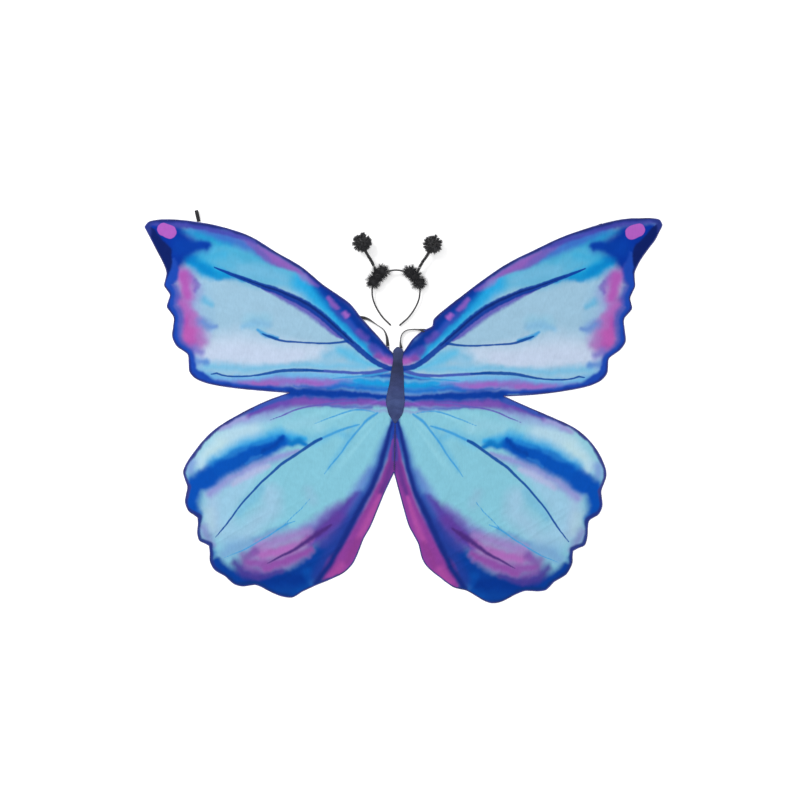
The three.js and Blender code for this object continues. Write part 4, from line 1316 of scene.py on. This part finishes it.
PUFF_LOBES = [(36, 142), (50, 131), (60, 114)]  # centres of the fur, right side, mm
FOOT = [(53.5, 139), (59.6, 153.9)]  # the stem's fixed foot, hidden in the fur
STEM = [(60, 155), (67, 168), (76, 182), (83, 193.5), (88, 204)]  # from the edge of the fur to the pompon
POMPON = (93, 216)
PUFF_LOCKS = 110  # in each lobe
PUFF_BARBS = 1700
POMPON_CLUMPS = 110
POMPON_NEEDLES = 2400
FOOT_BRISTLES = 260
STEM_BRISTLES = 1700
HEART_SHADE = 0.1  # of the dark middle that the hairs grow from


def make_puffs(fur):
    """Marabou puffs: long fine barbs in every direction, gathered into pointed locks."""
    for number, (side, sign) in enumerate(WINGS):
        rng = np.random.default_rng(SEED + number)
        parts = []
        shades = []
        for x, y in PUFF_LOBES:
            centre = np.array([sign * x * MM, y * MM, 0])
            heart = lumpy_ball(centre, np.array([0.56, 0.56, 0.5]) * PUFF_RADIUS, SEED + 3 * number)
            parts.append(heart)
            shades.append(np.full(len(heart[0]), HEART_SHADE))
            locks = sphere_directions(PUFF_LOCKS, rng)
            which = rng.integers(0, len(locks), PUFF_BARBS)
            heading = unit(locks[which] + 0.22 * rng.normal(size=(len(which), 3)))
            lock_reach = 0.94 + 0.46 * rng.random(len(locks)) ** 1.5
            reach = PUFF_RADIUS * lock_reach[which] * (1 - 0.22 * rng.random(len(which)) ** 2)
            flatten = np.array([1, 1, 0.72])
            roots = centre + heading * 0.25 * PUFF_RADIUS * flatten
            tips = centre + unit(heading + 0.75 * (locks[which] - heading)) * reach[:, None] * flatten
            hair = strands(roots, tips, rng.uniform(0.16, 0.32, len(roots)) * MM, 0.1, rng)
            parts.append(hair)
            shades.append(hair_shades(len(roots), 3, rng))
        points, faces = join(parts)
        piece = make_piece(side + "_marabou_puff", lifted(on_band(points)), faces, fur, smooth=False)
        set_value(piece, "shade", np.concatenate(shades))
        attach(piece, "headband")
        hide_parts(side + "_fur_puff")


def make_antennae(tinsel):
    """Chenille stems with tinsel pompons: a foot in the fur stays with the band, and the rest sways."""
    for number, (side, sign) in enumerate(WINGS):
        rng = np.random.default_rng(SEED + 10 + number)
        line = spline(np.array(FOOT) * MM * (sign, 1), 1.0 * MM)
        foot = np.column_stack([line, np.zeros(len(line))])
        shape = chenille(foot, FOOT_BRISTLES, rng)
        finish_tinsel(side + "_antenna_foot_chenille", shape, tinsel, "headband", side + "_antenna_foot")
        body = side + "_antenna"
        line = spline(np.array(STEM) * MM * (sign, 1), 1.0 * MM)
        stem = np.column_stack([line, np.zeros(len(line))])
        shape = chenille(stem, STEM_BRISTLES, rng)
        finish_tinsel(side + "_antenna_chenille", shape, tinsel, body, side + "_antenna_stem")
        centre = np.array([sign * POMPON[0] * MM, POMPON[1] * MM, 0])
        heart = lumpy_ball(centre, np.full(3, 0.68 * POMPON_RADIUS), SEED + 30 + number, 0.1)
        heading = sphere_directions(POMPON_NEEDLES, rng)
        clump = sphere_directions(POMPON_CLUMPS, rng)
        nearest = np.argmax(heading @ clump.T, axis=1)
        heading = unit(heading + 1.1 * clump[nearest])
        reach = 0.8 + 0.16 * rng.random(len(clump))[nearest]
        reach = POMPON_RADIUS * (reach + 0.16 * rng.random(len(heading)) ** 2)
        roots = centre + heading * 0.35 * POMPON_RADIUS
        tips = centre + heading * reach[:, None]
        radius = rng.uniform(0.34, 0.6, len(heading)) * MM
        needles = strands(roots, tips, radius, 0.04, rng, 2, 0.35)
        shades = np.concatenate([np.full(len(heart[0]), HEART_SHADE), hair_shades(len(heading), 2, rng)])
        points, faces = join([heart, needles])
        finish_tinsel(side + "_tinsel_pompon", (points, faces, shades), tinsel, body, side + "_pompon")


def chenille(path, count, rng):
    """A twisted wire with short bristles all round it, as points, faces and shades."""
    wire_points, wire_faces, _, _ = sweep(path, rounded_section(5.0 * MM, 5.0 * MM), up=(0, 0, 1))
    place = rng.uniform(0, len(path) - 1, count)
    low = place.astype(int)
    share = (place - low)[:, None]
    roots = path[low] * (1 - share) + path[np.minimum(low + 1, len(path) - 1)] * share
    along = unit(path[-1:] - path[:1])
    turn = unit(np.cross(along, rng.normal(size=(count, 3))))
    tips = roots + turn * rng.uniform(3.4, 5.2, count)[:, None] * MM
    tips = tips + along * rng.uniform(-1.2, 1.4, count)[:, None] * MM
    hair = strands(roots, tips, rng.uniform(0.22, 0.36, count) * MM, 0.06, rng, 2, 0.5)
    points, faces = join([(wire_points, wire_faces), hair])
    shades = np.concatenate([np.full(len(wire_points), HEART_SHADE), hair_shades(count, 2, rng)])
    return points, faces, shades


def finish_tinsel(name, shape, tinsel, body, node):
    points, faces, shades = shape
    piece = make_piece(name, lifted(on_band(points)), faces, tinsel, smooth=False)
    set_value(piece, "shade", shades)
    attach(piece, body)
    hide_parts(node)


def dark_fibre(name, dark, light, roughness, sheen):
    """Black fibre whose strands differ a little in how dark they are; the palest strands are partly painted
    highlight, standing in for sheen and glints.
    """
    material, tree, shader = new_material(
        name, Roughness=roughness, Sheen_Weight=sheen, Sheen_Roughness=0.4, Specular_IOR_Level=0.4
    )
    shade = attribute(tree, "shade").outputs["Fac"]
    grain = noise(tree, 150)
    mixed = math_node(tree, "MULTIPLY", shade, 0.7)
    mixed = math_node(tree, "ADD", mixed, math_node(tree, "MULTIPLY", grain, 0.3))
    tree.links.new(ramp(tree, mixed, [(0.1, dark), (0.95, light)]), shader.inputs["Base Color"])
    bump(tree, shader, grain, 0.2 * MM, 0.4)
    return material


def wrapped_ribbon():
    """Satin ribbon wound slantwise round the band."""
    material, tree, shader = new_material(
        "Wrapped_ribbon", Roughness=0.42, Sheen_Weight=0.2, Specular_IOR_Level=0.5
    )
    along = attribute(tree, "along").outputs["Fac"]
    across = attribute(tree, "across").outputs["Fac"]
    turns = math_node(tree, "MULTIPLY", along, 1 / RIBBON_TURN)
    slant = math_node(tree, "ADD", turns, math_node(tree, "MULTIPLY", across, 0.25))
    turn = math_node(tree, "FRACT", slant)
    # painted shade: each turn darkest where it comes out from under the turn before, lighter across the rest
    stops = [(0.0, (0.008, 0.008, 0.009)), (0.12, (0.02, 0.02, 0.022)), (1.0, (0.034, 0.033, 0.036))]
    tree.links.new(ramp(tree, turn, stops), shader.inputs["Base Color"])
    bump(tree, shader, turn, 0.4 * MM, 0.7)
    return material


def moulded_plastic():
    material, tree, shader = new_material("Moulded_plastic", Roughness=0.34, Specular_IOR_Level=0.5)
    grain = noise(tree, 260, 4.0)
    colour = ramp(tree, grain, [(0.3, (0.008, 0.008, 0.009)), (0.7, (0.016, 0.016, 0.018))])
    tree.links.new(colour, shader.inputs["Base Color"])
    tree.links.new(fade(tree, grain, 0.3, 0.7, 0.28, 0.42), shader.inputs["Roughness"])
    bump(tree, shader, grain, 0.05 * MM, 0.3)
    return material


# ---- the scene ----
add_camera()
add_floor()
add_studio()

satin = printed_satin()
hem_thread = oversewn_thread("Hem_thread", swatch("1A2160"), swatch("3A45A0"))
seam_thread = oversewn_thread("Seam_thread", swatch("141A44"), swatch("2C3678"), 0.9 * MM)
dark_cloth = body_cloth()
elastic = ribbed_elastic()

for wing_side, wing_sign in WINGS:
    make_wing(wing_side, wing_sign, satin, hem_thread)
    make_strap(wing_side, elastic)
    make_finger_loop(wing_side, elastic)
    for tack_name in ("strap_neck_tack", "strap_patch_tack", "loop_tack"):
        make_tack(wing_side + "_" + tack_name, seam_thread)
make_body(dark_cloth)
make_seam(seam_thread)
make_patch(dark_cloth, seam_thread)
make_headband(wrapped_ribbon(), moulded_plastic())
make_puffs(dark_fibre("Marabou", (0.004, 0.004, 0.006), (0.034, 0.034, 0.042), 0.7, 0.25))
# the tinsel's pale grey strands are painted highlight, in place of the glints of its shiny strands
make_antennae(dark_fibre("Tinsel", (0.004, 0.004, 0.005), (0.11, 0.11, 0.12), 0.4, 0.1))
